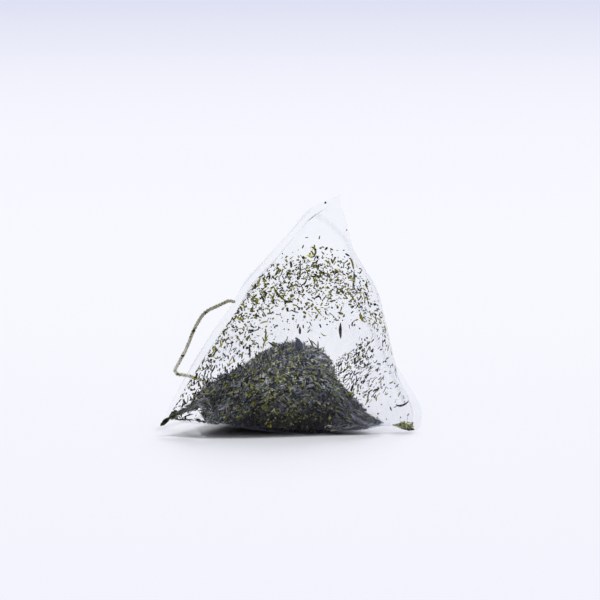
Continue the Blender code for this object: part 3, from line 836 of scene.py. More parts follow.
def dark_material():
    m, nt, out = new_material("tea_inside")
    L = nt.links.new
    place = node(nt, "ShaderNodeTexCoord")
    n1 = node(nt, "ShaderNodeTexNoise", Scale=1500.0, Detail=4.0, Roughness=0.7)
    L(place.outputs["Object"], n1.inputs["Vector"])
    tone = ramp(nt, [(0.35, rgb(20, 20, 22)), (0.5, rgb(44, 45, 46)), (0.62, rgb(66, 68, 66)), (0.72, rgb(94, 98, 60))])
    L(n1.outputs["Fac"], tone.inputs["Fac"])
    p = node(nt, "ShaderNodeBsdfPrincipled")
    L(tone.outputs["Color"], p.inputs["Base Color"])
    p.inputs["Roughness"].default_value = 0.9
    bump = node(nt, "ShaderNodeBump", Strength=0.8, Distance=0.0002)
    L(n1.outputs["Fac"], bump.inputs["Height"])
    L(bump.outputs["Normal"], p.inputs["Normal"])
    L(p.outputs[0], out.inputs["Surface"])
    return m


HEAP_LEFT = [(344, 280), (347, 271), (349, 264), (352, 260), (358, 252), (366, 244), (371, 231), (377, 223), (384, 215), (389, 208.5), (393, 205.5), (400, 203), (409, 203), (415, 204), (422, 207), (430, 212)]
HEAP_RIGHT = [(344, 303), (348, 316), (352, 324), (356, 329), (360, 332), (374, 334), (380, 337), (385, 340), (390, 345), (398, 353), (406, 360), (414, 364.5), (419, 369), (424, 376), (430, 382)]


def build_heap(mat):
    """The body of the heap: the space that the tea fills, with a lumpy surface."""
    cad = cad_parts["tea_heap"]
    obj = bpy.data.objects.new("tea_body", cad.data.copy())
    bpy.context.scene.collection.objects.link(obj)
    grid = obj.modifiers.new("even", "REMESH")
    grid.mode = "VOXEL"
    grid.voxel_size = 0.0007
    bpy.context.view_layer.update()
    even = bpy.data.meshes.new_from_object(obj.evaluated_get(bpy.context.evaluated_depsgraph_get()))
    even.name = "tea_body"
    obj.modifiers.clear()
    obj.data = even
    even.materials.clear()
    even.materials.append(mat)
    n = len(even.vertices)
    co = np.empty(n * 3)
    even.vertices.foreach_get("co", co)
    at = co.reshape(-1, 3) / MM - SHIFT
    uv = pixels(at)
    rows = np.arange(345, 431)
    edges = np.array([[uv[np.abs(uv[:, 1] - v) < 2.5, 0].min(), uv[np.abs(uv[:, 1] - v) < 2.5, 0].max()] for v in rows])
    wanted = np.stack([np.interp(rows, *zip(*HEAP_LEFT)), np.interp(rows, *zip(*HEAP_RIGHT))], 1)
    step = np.clip(wanted - edges, -12, 12)
    step = np.stack([np.convolve(np.pad(q, 4, "edge"), np.ones(9) / 9, "valid") for q in step.T], 1)
    lo, hi, dl, dr = (np.interp(uv[:, 1], rows, q) for q in (*edges.T, *step.T))
    share = ease((uv[:, 0] - lo) / np.maximum(hi - lo, 1))
    at[:, 0] += (dl * (1 - share) + dr * share) * DISTANCE / FOCUS
    even.vertices.foreach_set("co", ((kept_inside(at) + SHIFT) * MM).ravel())
    even.update()
    no = np.empty(n * 3)
    even.vertices.foreach_get("co", co)
    even.vertices.foreach_get("normal", no)
    co, no = co.reshape(-1, 3), no.reshape(-1, 3)
    from mathutils import noise

    depth = np.array([0.5 + 0.5 * noise.noise(Vector(p) * 700.0) + 0.35 * noise.noise(Vector(p) * 1900.0) for p in co])
    co -= no * (0.00015 + 0.00055 * np.clip(depth, 0, 1.3))[:, None]
    even.vertices.foreach_set("co", co.ravel())
    even.polygons.foreach_set("use_smooth", [True] * len(even.polygons))
    even.update()
    return obj


heap = build_heap(dark_material())


def spread_on(obj, count, rng, favour):
    """Points on the faces of a mesh, drawn by area times favour(point, normal), with their normals."""
    me = obj.data
    me.calc_loop_triangles()
    v = np.empty(len(me.vertices) * 3)
    me.vertices.foreach_get("co", v)
    v = v.reshape(-1, 3) / MM - SHIFT
    tri = np.empty(len(me.loop_triangles) * 3, np.int32)
    me.loop_triangles.foreach_get("vertices", tri)
    tri = v[tri.reshape(-1, 3)]
    cross = np.cross(tri[:, 1] - tri[:, 0], tri[:, 2] - tri[:, 0])
    area = np.linalg.norm(cross, axis=1) / 2
    normal = cross / (2 * area[:, None] + 1e-12)
    weight = area * favour(tri.mean(1), normal)
    chosen = rng.choice(len(tri), count, p=weight / weight.sum())
    a, b = rng.random((2, count, 1))
    flip = a + b > 1
    a, b = np.where(flip, 1 - a, a), np.where(flip, 1 - b, b)
    t = tri[chosen]
    return t[:, 0] + a * (t[:, 1] - t[:, 0]) + b * (t[:, 2] - t[:, 0]), normal[chosen]


def seen(p, normal):
    """How much of a face the picture shows: faces towards the camera and the free slopes count most."""
    view = (EYE - p) / np.linalg.norm(EYE - p, axis=1)[:, None]
    facing = (normal * view).sum(1)
    return np.where(normal[:, 2] < -0.75, 0.15, np.where(facing > -0.05, 1.0, 0.4))


def laid(p, normal, rng, spread):
    """A direction in the surface: down the left slope on the left, down the right slope on the right, any in the middle."""
    u = pixels(p)[:, 0]
    lean = np.interp(u, [175, 215, 262, 300, 335, 375], [28, 40, 30, -25, -52, -38])
    loose = np.interp(u, [175, 225, 262, 300, 330, 375], [0.45, 0.7, 1.3, 1.3, 0.8, 0.45])
    a = np.radians(lean) + rng.normal(0, 1, len(p)) * loose * spread
    right = np.cross(np.tile((0, 0, 1.0), (len(p), 1)), -normal)
    right /= np.linalg.norm(right, axis=1)[:, None] + 1e-6
    right[right[:, 0] < 0] *= -1
    up = np.cross(right, normal)
    up[up[:, 2] < 0] *= -1
    return right * np.cos(a)[:, None] + up * np.sin(a)[:, None]


MIX_GREY = [(30, (20, 21, 24)), (18, (58, 60, 65)), (22, (108, 110, 116)), (18, (158, 161, 166)), (6, (80, 86, 52)), (6, (140, 144, 92)), (2, (196, 198, 148)), (0.5, (110, 88, 56))]
MIX_GREEN = [(15, (84, 90, 28)), (22, (128, 134, 56)), (28, (172, 176, 98)), (22, (208, 210, 140)), (10, (232, 232, 184)), (0.5, (140, 108, 52)), (8, (40, 44, 16))]
TEA = tone_material("tea_leaf")


def leaf_layer(name, count, seed, size, lift, spread, tilt, flecks):
    """Leaf fragments lying on the heap, a share of them small light green chips; their tones carry painted light and
    shade.
    """
    rng = np.random.default_rng(seed)
    p, normal = spread_on(heap, count, rng, seen)
    uv = pixels(p)
    free = np.clip((normal[:, 2] - 0.3) / 0.4, 0, 1)[:, None]
    way = laid(p, normal, rng, spread) + normal * np.abs(rng.normal(0, 1, (count, 1))) * (tilt * (0.5 + 1.6 * free))
    low = np.clip((uv[:, 1] - 384) / 34, 0, 1)
    band = np.exp(-(((uv[:, 0] - 283) / 27) ** 2)) * np.clip((uv[:, 1] - 340) / 30, 0.3, 1)
    green = np.clip(flecks * (0.22 + 1.0 * band + 0.35 * low), 0, 0.7)
    chip = rng.random(count) < green
    length = np.where(chip, np.clip(rng.lognormal(math.log(0.62), 0.38, count), 0.3, 1.5), np.clip(rng.lognormal(math.log(size), 0.45, count), 0.5, 4.4))
    width = np.where(chip, rng.uniform(0.34, 0.66, count), np.clip(rng.lognormal(math.log(0.36), 0.42, count), 0.14, 1.1))
    thick = np.clip(width * rng.uniform(0.25, 0.7, count), 0.08, 0.3)
    tones = np.where(chip[:, None], tones_of(rng, count, MIX_GREEN), tones_of(rng, count, MIX_GREY))
    # painted light: leaves lighter towards the top of the heap and on its right side, where the lamps fall; 1.36 is a
    # plain gain
    high = np.clip((395 - uv[:, 1]) / 40, 0, 1)
    # painted shade low on the front of the heap, between its sides
    shade = low * np.clip((uv[:, 0] - 215) / 30, 0, 1) * np.clip((370 - uv[:, 0]) / 40, 0, 1)
    # painted shade also on leaves that face down, under the heap
    gain_and_painted_light = (1.36 + 0.36 * high) * (1 + 0.45 * ease((uv[:, 0] - 320) / 16)) * np.where(normal[:, 2] < -0.35, 0.3, 1.0)
    tones = tones * (gain_and_painted_light * (1 - np.where(chip, 0.5, 0.9) * shade))[:, None]
    return spindles(name, p + normal * (lift + thick * 0.3)[:, None], way, normal, length, width, thick, rng.normal(0, 0.09, count) * length, tones, TEA)


def fringe(name, count, seed):
    """Strands that stick out along the heap's outline as the picture shows it."""
    rng = np.random.default_rng(seed)

    def rim(p, normal):
        view = (EYE - p) / np.linalg.norm(EYE - p, axis=1)[:, None]
        facing = (normal * view).sum(1)
        return np.where((np.abs(facing) < 0.3) & (normal[:, 2] > -0.1) & (pixels(p)[:, 1] < 422), 1.0, 1e-9)

    p, normal = spread_on(heap, count, rng, rim)
    way = laid(p, normal, rng, 1.0) + normal * rng.uniform(0.3, 1.6, (count, 1))
    length = np.clip(rng.lognormal(math.log(1.35), 0.4, count), 0.5, 3.2)
    way /= np.linalg.norm(way, axis=1)[:, None]
    width = rng.uniform(0.14, 0.36, count)
    return spindles(name, p + way * (length * 0.25)[:, None], way, np.cross(way, rng.normal(0, 1, (count, 3))), length, width, width * 0.5, rng.normal(0, 0.1, count) * length, tones_of(rng, count, MIX_GREY) * 1.15, TEA)


tea_pieces = [heap]
for k, (seed, size, lift, spread, tilt, flecks) in enumerate([(20, 1.5, 0.0, 0.9, 0.12, 0.14), (21, 1.85, 0.2, 0.75, 0.22, 0.27)]):
    tea_pieces.append(leaf_layer(f"tea_leaves_{k + 1}", 16000, seed, size, lift, spread, tilt, flecks))


def strewn(name, seed, groups, palette, mat, blunt=0.2, depth=0.12):
    """Leaf strewn along lines on the film's inner side. A group is (line of pixels, how many, half width in pixels,
    angle from the line in degrees, length in mm, width in mm, layer)."""
    rng = np.random.default_rng(seed)
    at, out, way, length, width = [], [], [], [], []
    for line, count, half, off, long, wide, layer, *deep in groups:
        q = np.array(line, float)
        run = np.r_[0, np.cumsum(np.linalg.norm(np.diff(q, axis=0), axis=1))]
        for s in rng.random(count):
            u, v = (np.interp(s * run[-1], run, q[:, k]) for k in (0, 1))
            k = min(np.searchsorted(run, s * run[-1], side="right"), len(q) - 1)
            d = q[k] - q[k - 1]
            slant = math.atan2(-d[1], d[0]) + math.radians(off) * rng.normal(0, 1)
            found = on_film(u + rng.normal(0, half), v + rng.normal(0, half), layer)
            if found is None:
                continue
            p, n = found
            right = np.cross((0, 0, 1.0), -n)
            right /= np.linalg.norm(right) + 1e-6
            right = -right if right[0] < 0 else right
            up = np.cross(right, n)
            up = up if up[2] > 0 else -up
            behind = 0.0
            if deep:  # somewhere between this layer of the film and the next one, on the same line of sight
                d = ray(u, v)
                far = SKIN.ray_cast(Vector(p) + d * 0.4, d)[0]
                if far is None:
                    continue
                behind = rng.uniform(0, max(min(deep[0], (far - Vector(p)).length - 1.0), 0.0))
                p = p + np.array(d) * behind
            at.append(p - n * depth * rng.uniform(0.3, 2.2))
            out.append(n)
            way.append(right * math.cos(slant) + up * math.sin(slant))
            length.append(float(np.clip(rng.lognormal(math.log(long), 0.35), 0.3, 4.5)))
            width.append(float(np.clip(rng.lognormal(math.log(wide), 0.3), 0.1, 0.9)))
    n = len(at)
    length, width = np.array(length), np.array(width)
    return spindles(name, at, way, out, length, width, np.minimum(width * 0.6, 0.25), rng.normal(0, 0.08, n) * length, tones_of(rng, n, palette), mat, blunt=blunt)


tea_pieces.append(fringe("tea_fringe", 1500, 25))

TAILS = [
    # the dark arm of leaf that runs down into corner L, and what hangs beside it
    ([(172, 415.5), (180, 412), (188, 408.5), (196, 404)], 300, 0.7, 12, 1.5, 0.28, 0),
    ([(190, 407.5), (197, 403.5), (206, 400)], 330, 1.4, 16, 1.5, 0.3, 0),
    ([(174, 414.8), (182, 411.2), (190, 407.6), (202, 401.5)], 620, 0.3, 10, 1.1, 0.34, 0, 8.0),
    ([(172, 419.3), (184, 419.7), (197, 420.5), (206, 423)], 30, 0.5, 12, 0.8, 0.26, 0),
    ([(205, 407), (209, 414), (214, 421)], 460, 2.4, 60, 1.2, 0.3, 0),
    ([(198, 398), (206, 391), (216, 386), (226, 376)], 330, 2.6, 60, 1.3, 0.24, 0),
    # and the thin fan of fine strands to the right
    ([(346, 396), (356, 407), (366, 417), (379, 424)], 420, 2.0, 14, 1.7, 0.2, 0),
    ([(345, 408), (356, 418), (371, 425)], 420, 3.4, 16, 1.7, 0.22, 0),
    ([(330, 429), (350, 429), (368, 427)], 260, 1.4, 20, 1.3, 0.22, 0),
]
tea_pieces.append(strewn("tea_tails", 31, TAILS, MIX_GREY, TEA))
MIX_CLUMP = [(4, (22, 23, 18)), (4, (66, 68, 56)), (3, (112, 116, 66)), (1.5, (156, 158, 96))]
tea_pieces.append(strewn("tea_clump", 37, [([(163, 422), (167, 418.6), (172, 415.4), (176, 413.6)], 300, 1.5, 34, 0.8, 0.34, 0)], MIX_CLUMP, TEA))
MIX_DEEP = [(5, (12, 12, 8)), (3, (52, 54, 24)), (2, (104, 106, 46))]
MIX_PALE = [(2, (60, 62, 26)), (4, (140, 142, 66)), (4, (186, 186, 112)), (1, (210, 206, 150))]
tea_pieces.append(strewn("tea_corner", 33, [([(384, 427.4), (392, 428.6), (400, 429.5), (408, 429.8), (415, 428.8), (419, 427.2)], 360, 0.5, 8, 0.7, 0.3, 0)], MIX_DEEP, TEA))
tea_pieces.append(strewn("tea_corner_top", 34, [([(393, 427), (400, 425.6), (406, 425.2), (412, 426), (416, 427)], 190, 1.4, 65, 0.7, 0.26, 0)], MIX_PALE, TEA))

# ------------------------------------------------------------------ dust and bits on the film
TOP_LINE = ([200, 225, 250, 268, 290, 310, 330, 345, 356, 370, 386], [338, 297, 271, 257, 256, 247, 249, 252, 262, 280, 305])
HEAP_LINE = tuple(np.array(HEAP).T)


def dust_share(u, v):
    """How thickly the film is dusted at a pixel, from 0 to 1."""
    t = v - np.interp(u, *TOP_LINE)
    heap_top = np.interp(u, *HEAP_LINE)
    band = (0.25 * ease((t + 6) / 8) + 0.75 * ease((t - 3) / 18)) * (1 - 0.45 * ease((t - 42) / 16)) * (1 - 0.42 * ease((t - 60) / 16))
    left = ease((t - 3) / 12) * (0.5 - 0.27 * ease((v - 335) / 25)) * ease((282 - u) / 34) * (1 - 0.6 * ease((212 - u) / 8) * ease((v - 340) / 10)) * (1 - 0.38 * ease((240 - u) / 10))
    share = np.maximum(band * np.where(u < 262, 0.95, 1.0) * (1 - 0.45 * ease((t - 40) / 10) * ease((u - 262) / 20)), left)
    middle = ease((u - 272) / 10) * ease((350 - u) / 8) * ease((v - 320) / 14)
    share = share * (1 - 0.72 * middle)
    edge_line = 368 - (u - 330) * 0.9  # the fine lattice at the right lies below this line
    lattice = 1.0 * ease((v - edge_line + 4) / 6) * np.exp(-((np.maximum(u - 352, 0) / 24) ** 2)) * ease((u - 326) / 8) * (1 - ease((v - 386) / 22))
    share = np.where((u > 322) & (v > 322), np.maximum(share * (1 - ease((v - 322) / 10) * ease((385 - u) / 6)), lattice), share)
    share = np.where((v > 402) & (u > 368), 0.025, share)
    return np.clip(share, 0, 1) * np.where(v > heap_top + 6, 0.25, 1.0)


MIX_BITS = [(17, (10, 8, 0)), (16, (54, 51, 0)), (28, (122, 118, 0)), (25, (160, 156, 0)), (12, (188, 185, 52)), (1.5, (60, 64, 66)), (1, (110, 74, 20))]
MIX_FAR = [(10, (74, 80, 72)), (10, (104, 110, 76)), (9, (130, 134, 74)), (7, (150, 154, 112))]
MIX_STRAND = [(5, (30, 33, 36)), (5, (60, 64, 68)), (3, (96, 102, 92)), (2, (120, 126, 84))]
BIT = tone_material("dust_bit", streaks=2600.0, gloss=0.12, thin=0.35)


def bits(name, tries, seed, behind, size, palette, scale=1.0):
    rng = np.random.default_rng(seed)
    at, out, way, length, width, grey = [], [], [], [], [], []
    for u, v, chance in zip(rng.uniform(160, 420, tries), rng.uniform(228, 428, tries), rng.random(tries)):
        if chance > dust_share(u, v) * scale:
            continue
        found = on_film(u, v, behind)
        if found is None:
            continue
        p, n = found
        a = rng.normal(0.9, 0.4) if (u > 325 and v > 330) else rng.normal(1.25, 0.5) if (u < 250 and v > 335) else rng.uniform(0, math.pi)
        right = np.cross((0, 0, 1.0), -n)
        right = right / (np.linalg.norm(right) + 1e-6)
        if right[0] < 0:
            right = -right
        up = np.cross(right, n)
        up = up if up[2] > 0 else -up
        at.append(p - n * 0.06)
        out.append(n)
        way.append(right * math.cos(a) + up * math.sin(a))
        lattice = u > 325 and v > 330
        long = rng.lognormal(math.log(size * (1.25 if lattice else 1.0)), 0.5)
        length.append(min(long, 2.2))
        width.append(min(rng.lognormal(math.log(0.24 if lattice else 0.33), 0.35), 0.7, long * 0.85))
        grey.append(lattice and rng.random() < 0.6 or u < 250 and v > 350 and rng.random() < 0.5)
    n = len(at)
    length, width = np.array(length), np.array(width)
    tones = np.where(np.array(grey)[:, None], tones_of(rng, n, MIX_STRAND), tones_of(rng, n, palette))
    return spindles(name, at, way, out, length, width, np.minimum(width * 0.5, 0.16), rng.normal(0, 0.07, n) * length, tones, BIT, blunt=0.5)


few = 1.0
front_bits = bits("bits_front", int(14500 * few), 41, 0, 0.56, MIX_BITS, 0.6)
back_bits = bits("bits_back", int(8500 * few), 42, 1, 0.52, MIX_FAR, 0.5)
HEAP_TREE = BVHTree.FromPolygons([tuple(v.co / MM - Vector(SHIFT)) for v in heap.data.vertices], [tuple(p.vertices) for p in heap.data.polygons])


def on_weld(u, v):
    """The point of the welded strip at the top that pixel (u, v) shows, on its inner side."""
    line = pixels(SEAM_A)
    i = int(np.argmin(np.linalg.norm(line - (u, v), axis=1)))
    if np.linalg.norm(line[i] - (u, v)) > 14:
        return None
    d = ray(u, v)
    p = np.array(Vector(EYE) + d * ((SEAM_A[i][1] - EYE[1]) / d.y))
    return p, np.array((0.0, 0.0, 0.0))


def drawn(name, items, mat):
    """Single leaves and larger bits, each along a line of pixels of the picture: (line, width in pixels, colour, place).
    The place is a layer of the film, on its inner side, "weld" for what is caught in the seam, or "crest" for what stands on the heap."""
    rng = np.random.default_rng(51)
    verts, faces, tones = [], [], []
    for line, wide, colour, where in items:
        if len(line) == 1:
            (u, v), = line
            line = [(u - wide * 0.4, v - wide * 0.25), (u + wide * 0.4, v + wide * 0.25)]
        q = smooth_line(line, 8)
        if where == "crest":
            hit = None
            for drop in range(0, 14, 2):
                hit = hit or HEAP_TREE.ray_cast(Vector(EYE), ray(q[0][0], q[0][1] + drop))[0]
            if hit is None:
                continue
            spots = []
            for u, v in q:
                d = ray(u, v)
                spots.append(np.array(Vector(EYE) + d * ((hit.y - 0.2 - EYE[1]) / d.y)))
            loose = True
        else:
            if where == "weld":
                found = [on_weld(u, v) for u, v in q]
            else:
                found = [on_film(u, v, where) or on_film(u - 1.2, v, where) or on_film(u - 2.4, v + 0.4, where) for u, v in q]
            if any(k is None for k in found):
                continue
            spots = [p - n * (0.1 + wide * 0.03) for p, n in found]
            loose = all(n.any() for _, n in found)
        spots = np.array(spots)
        along_it = np.gradient(spots, axis=0)
        along_it /= np.linalg.norm(along_it, axis=1)[:, None] + 1e-9
        view = (spots - EYE) / np.linalg.norm(spots - EYE, axis=1)[:, None]
        side = np.cross(view, along_it)
        side /= np.linalg.norm(side, axis=1)[:, None] + 1e-9
        fat = np.array([0.25, 0.66, 0.9, 1.0, 1.0, 0.85, 0.6, 0.2]) * wide * 0.5 * DISTANCE / FOCUS * (1 + 0.12 * rng.normal(0, 1, 8))
        base = len(verts) * 48
        rings = np.array([[p + s * w * math.cos(a) + g * w * 0.4 * math.sin(a) for a in np.arange(6) * math.pi / 3] for p, s, g, w in zip(spots, side, view, fat)])
        verts.append(kept_inside(rings.reshape(-1, 3), reach=1.5) if loose else rings.reshape(-1, 3))
        faces += [tuple(base + k for k in f) for f in stray_free(rings)]
        faces += [tuple(base + k for k in range(6))[::-1], tuple(base + k for k in range(42, 48))]
        shade = lin(np.clip(np.array(colour) * (1 + 0.12 * rng.normal()), 3, 250))
        tones.append(np.tile(shade, (48, 1)) * (1 + 0.1 * rng.normal(0, 1, (48, 1))))
    points = np.concatenate(verts)
    points[:, 2] = np.maximum(points[:, 2], 0.06)
    obj = mesh_object(name, points, faces, mat, smooth=False)
    c = np.ones((len(points), 4), np.float32)
    c[:, :3] = np.clip(np.concatenate(tones), 0.001, 1)
    obj.data.attributes.new("tone", "FLOAT_COLOR", "POINT").data.foreach_set("color", c.ravel())
    return obj


BLACK, DEEP, OLIVE, MOSS, STRAW, SLATE, ASH = (14, 13, 8), (56, 53, 4), (120, 116, 0), (150, 147, 14), (172, 168, 66), (70, 74, 84), (118, 122, 132)
NAMED = [
    # on the film, in front
    ([(325.5, 202.7)], 2.4, (40, 26, 10), "weld"), ([(347, 229), (347.8, 230.8)], 1.6, STRAW, 0), ([(319.1, 239.4), (320.2, 235.4)], 1.4, STRAW, 0), ([(305, 237.8), (308.6, 237.3)], 0.9, SLATE, 0),
    ([(302.2, 248.6), (303.8, 244.6)], 1.6, MOSS, 0), ([(311.6, 246.6), (314, 248), (315.8, 251), (315.4, 255)], 2.4, OLIVE, 0), ([(314.6, 244.4), (314.8, 248)], 2.0, MOSS, 0),
    ([(303.2, 255.8), (303.8, 259.4)], 2.8, DEEP, 0), ([(317.3, 255.4), (317.8, 258.8)], 2.4, BLACK, 0), ([(325.0, 249.8), (328.0, 247.0)], 2.2, BLACK, 0), ([(330.2, 248.4), (333.6, 250.0)], 1.8, OLIVE, 0),
    ([(322, 251.6), (324.6, 254.6)], 1.6, MOSS, 0), ([(332, 254), (333, 255.4)], 2.2, DEEP, 0), ([(266, 263.8), (270, 260.5)], 1.3, STRAW, 0), ([(271.6, 261.6), (276.4, 257.8)], 1.4, MOSS, 0),
    ([(298.4, 264.8), (301.9, 264.8)], 1.6, SLATE, 0), ([(300.3, 265.0), (300.2, 271), (299.5, 277.4)], 1.7, (52, 56, 40), 0), ([(276.0, 275.2), (279.0, 269.6)], 2.4, OLIVE, 0), ([(263.2, 277.4), (265, 282.4)], 2.8, BLACK, 0),
    ([(255.2, 283.8), (255.6, 288.8)], 2.9, BLACK, 0), ([(269.8, 273.8), (269.6, 279.4)], 2.1, DEEP, 0), ([(274.0, 286.6), (276.4, 292.4), (280.5, 296.4), (286.6, 302.0)], 2.6, OLIVE, 0), ([(286.4, 302.0), (284.4, 304.6)], 1.8, DEEP, 0),
    ([(345.4, 253.2), (350.0, 256.0)], 1.9, (58, 44, 22), 0), ([(350.6, 257.4), (352.6, 263), (353.9, 269.4)], 2.4, OLIVE, 0), ([(354.2, 271), (354.2, 279), (352.8, 288.6)], 2.2, DEEP, 0),
    ([(358.0, 272.0), (360.2, 273), (362.4, 269.4)], 1.3, DEEP, 0), ([(313.8, 299.2), (317, 296.6), (320.2, 297.0), (321.2, 300.4)], 1.8, BLACK, 0), ([(300.6, 285.8), (304.6, 283.6), (307.4, 278.2)], 1.6, BLACK, 0),
    ([(313.8, 273.6), (317.2, 275.6), (318.2, 278.6)], 2.1, DEEP, 0), ([(340.7, 322.6), (340.3, 330), (340.9, 338.6)], 2.9, DEEP, 0), ([(299.9, 326.6), (300.0, 334.4)], 2.4, DEEP, 0), ([(293, 317.2), (293.2, 319.8)], 2.7, OLIVE, 0),
    ([(266.2, 330.6), (265.8, 335), (264.9, 339.6)], 1.8, MOSS, 0), ([(307.2, 332.8), (310.6, 328.8)], 1.5, OLIVE, 0), ([(320.8, 332.8), (323.4, 335.2), (326.4, 335.6)], 1.2, STRAW, 0), ([(288.6, 347.6), (292.4, 344.6)], 1.4, OLIVE, 0),
    ([(249.2, 344.2), (249.6, 351), (250.0, 358.2)], 2.1, DEEP, 0), ([(215.2, 340.4), (214.2, 349.4)], 1.7, STRAW, 0), ([(268.6, 334.6), (264.8, 341), (262.6, 349.6)], 1.7, MOSS, 0), ([(262.4, 337), (264.6, 342)], 1.4, OLIVE, 0),
    ([(238.0, 362.2), (238.3, 368.6)], 2.3, (70, 84, 6), 0), ([(238.6, 365), (242.8, 367.4)], 1.5, (40, 44, 44), 0), ([(221.6, 378.4), (223.4, 382), (225.6, 387.6)], 1.9, (112, 116, 0), 0),
    ([(256.2, 368.0), (255.6, 371), (254.2, 374.4)], 1.9, (158, 150, 20), 0), ([(251.2, 385.4), (251.8, 389.6)], 2.6, (204, 204, 120), 0), ([(262.2, 357), (263.6, 362)], 1.6, DEEP, 0), ([(247.4, 395.8), (247.2, 401)], 2.4, (16, 18, 8), 0),
    # the clump caught in corner L
    ([(160.6, 426.0), (163.0, 423.0), (166.4, 420.2)], 3.0, (64, 66, 52), "weld"), ([(161.6, 424.2), (164.6, 420.8), (168.2, 417.6)], 2.8, (46, 48, 40), "weld"), ([(162.6, 425.6), (166.0, 422.4), (169.4, 419.4)], 2.4, (84, 86, 50), "weld"),
    ([(163.6, 420.6), (166, 418.6)], 1.8, (120, 122, 70), "weld"), ([(160.4, 425.4), (161.8, 423.4)], 1.6, (130, 132, 84), "weld"), ([(164.4, 423.4), (167.4, 420.4)], 2.2, (24, 25, 20), "weld"), ([(162.4, 422.6), (164.2, 419.8)], 1.4, (150, 152, 104), "weld"),
    ([(170.2, 406.2), (171.6, 403.8)], 1.2, STRAW, 0), ([(179.4, 406.6), (180.4, 405.2)], 1.6, (84, 86, 60), 0),
    # strands left of the heap
    ([(195.4, 400.6), (193.6, 397), (195.8, 392.4), (196.6, 391)], 1.7, BLACK, 0), ([(189.2, 400.6), (191.2, 398.6), (190.8, 397.2)], 1.5, BLACK, 0), ([(199.8, 396.8), (202.6, 388.6), (204.8, 383.4)], 1.6, OLIVE, 0),
    ([(206.2, 383.6), (208.8, 377.6)], 2.2, (30, 32, 34), 0), ([(187.8, 394.6), (187.6, 401.0), (185.4, 404.8)], 1.1, STRAW, 0), ([(210.6, 374), (213.2, 369.6), (215.4, 364.4)], 1.5, SLATE, 0), ([(207.4, 360.6), (211.6, 363)], 1.5, (40, 42, 30), 0),
    ([(198.2, 382), (199.0, 387)], 1.8, OLIVE, 0), ([(190.4, 388), (191.8, 391)], 1.9, DEEP, 0), ([(205.8, 351.2), (206.6, 353.4)], 1.8, SLATE, 0), ([(223, 353), (226, 357)], 1.9, SLATE, 0), ([(225, 366), (225.4, 370)], 2.1, (84, 70, 4), 0),
    ([(232.6, 340.6), (231.4, 346)], 1.2, SLATE, 0), ([(236, 353), (238.4, 354)], 2.4, SLATE, 0), ([(242.4, 353.6), (241.6, 359)], 1.4, SLATE, 0), ([(258.6, 345), (257.6, 348)], 2.0, DEEP, 0),
    ([(182.3, 417.9), (186.6, 415.7), (190.6, 414.5), (193.0, 414.2)], 1.5, (34, 36, 16), 0), ([(178, 419.4), (184, 419.2)], 1.2, DEEP, 0), ([(187, 419.6), (192, 419.7)], 1.3, OLIVE, 0), ([(196, 418.6), (201, 420.4)], 1.6, DEEP, 0),
    # corner R
    ([(396.2, 404.4), (399.6, 405.9), (404.8, 404.4), (410.3, 400.2)], 2.1, BLACK, 0), ([(400.9, 391.4), (398.3, 396.8)], 1.6, MOSS, 0), ([(390.0, 406.6), (391.9, 411.0)], 1.4, (48, 50, 54), 0), ([(413.4, 412.8), (416.8, 413.1)], 1.3, SLATE, 0),
    ([(400.7, 417.5)], 1.5, SLATE, 0), ([(377.4, 414.6), (378.9, 413.2)], 1.7, (48, 50, 40), 0), ([(374, 420.2), (376.6, 420)], 1.2, MOSS, 0), ([(386, 419), (387, 420)], 1.1, STRAW, 0), ([(373, 391.8), (375.6, 389.8), (379.4, 388.4)], 1.9, (60, 64, 46), 0),
    ([(368.7, 395.6), (367.6, 400), (365.4, 405.4)], 1.5, MOSS, 0), ([(377.1, 395.6), (376.2, 401.6)], 1.4, STRAW, 0), ([(394.2, 382.8), (395.4, 383.6)], 1.8, MOSS, 0), ([(387.6, 344.6), (386.2, 346.8)], 1.5, MOSS, 0),
    ([(388.6, 357.2), (387.2, 359)], 1.6, MOSS, 0), ([(367, 410.4), (363.4, 409.4)], 2.6, (84, 88, 58), 0), ([(369.4, 414.6), (365, 414)], 1.6, (40, 42, 40), 0),
    # standing on the heap
    ([(298.4, 352.6), (298.9, 347), (298.6, 342), (296.4, 337.8)], 6.6, (96, 100, 116), "crest"), ([(296.6, 339.4), (295.9, 337.2)], 2.0, (24, 26, 14), "crest"), ([(277.0, 348.0), (272.6, 344.8), (268.2, 342.0)], 2.3, (26, 32, 28), "crest"),
    ([(314.4, 349.6), (311.4, 343), (308.0, 337.4)], 1.3, ASH, "crest"), ([(318.2, 350), (317.9, 340.6)], 1.6, ASH, "crest"), ([(331.8, 354.6), (333.6, 349.8)], 1.5, ASH, "crest"), ([(286.4, 350), (287.6, 344.8)], 1.3, ASH, "crest"),
    ([(305.6, 351), (304.6, 344.6)], 1.2, ASH, "crest"), ([(322.6, 353), (324.4, 346.4)], 1.1, ASH, "crest"), ([(283.2, 350.6), (281.4, 346)], 1.2, SLATE, "crest"), ([(258, 358), (254.6, 352.6)], 1.6, (44, 46, 40), "crest"),
]
named_bits = drawn("bits_named", NAMED, BIT)

# ------------------------------------------------------------------ floor and light
FLOOR_TONES_AND_SHADE = [  # (place in Y in metres, tone): pale paper, with painted shade that darkens it a little far back and close to the front
    (-0.30, (241, 241, 250)), (-0.14, (242, 242, 248)), (-0.03, (244, 244, 249)), (0.10, (246, 247, 250)), (0.30, (247, 248, 251)),
    (0.70, (244, 244, 250)), (1.15, (236, 236, 246)), (1.9, (214, 217, 236)),
]


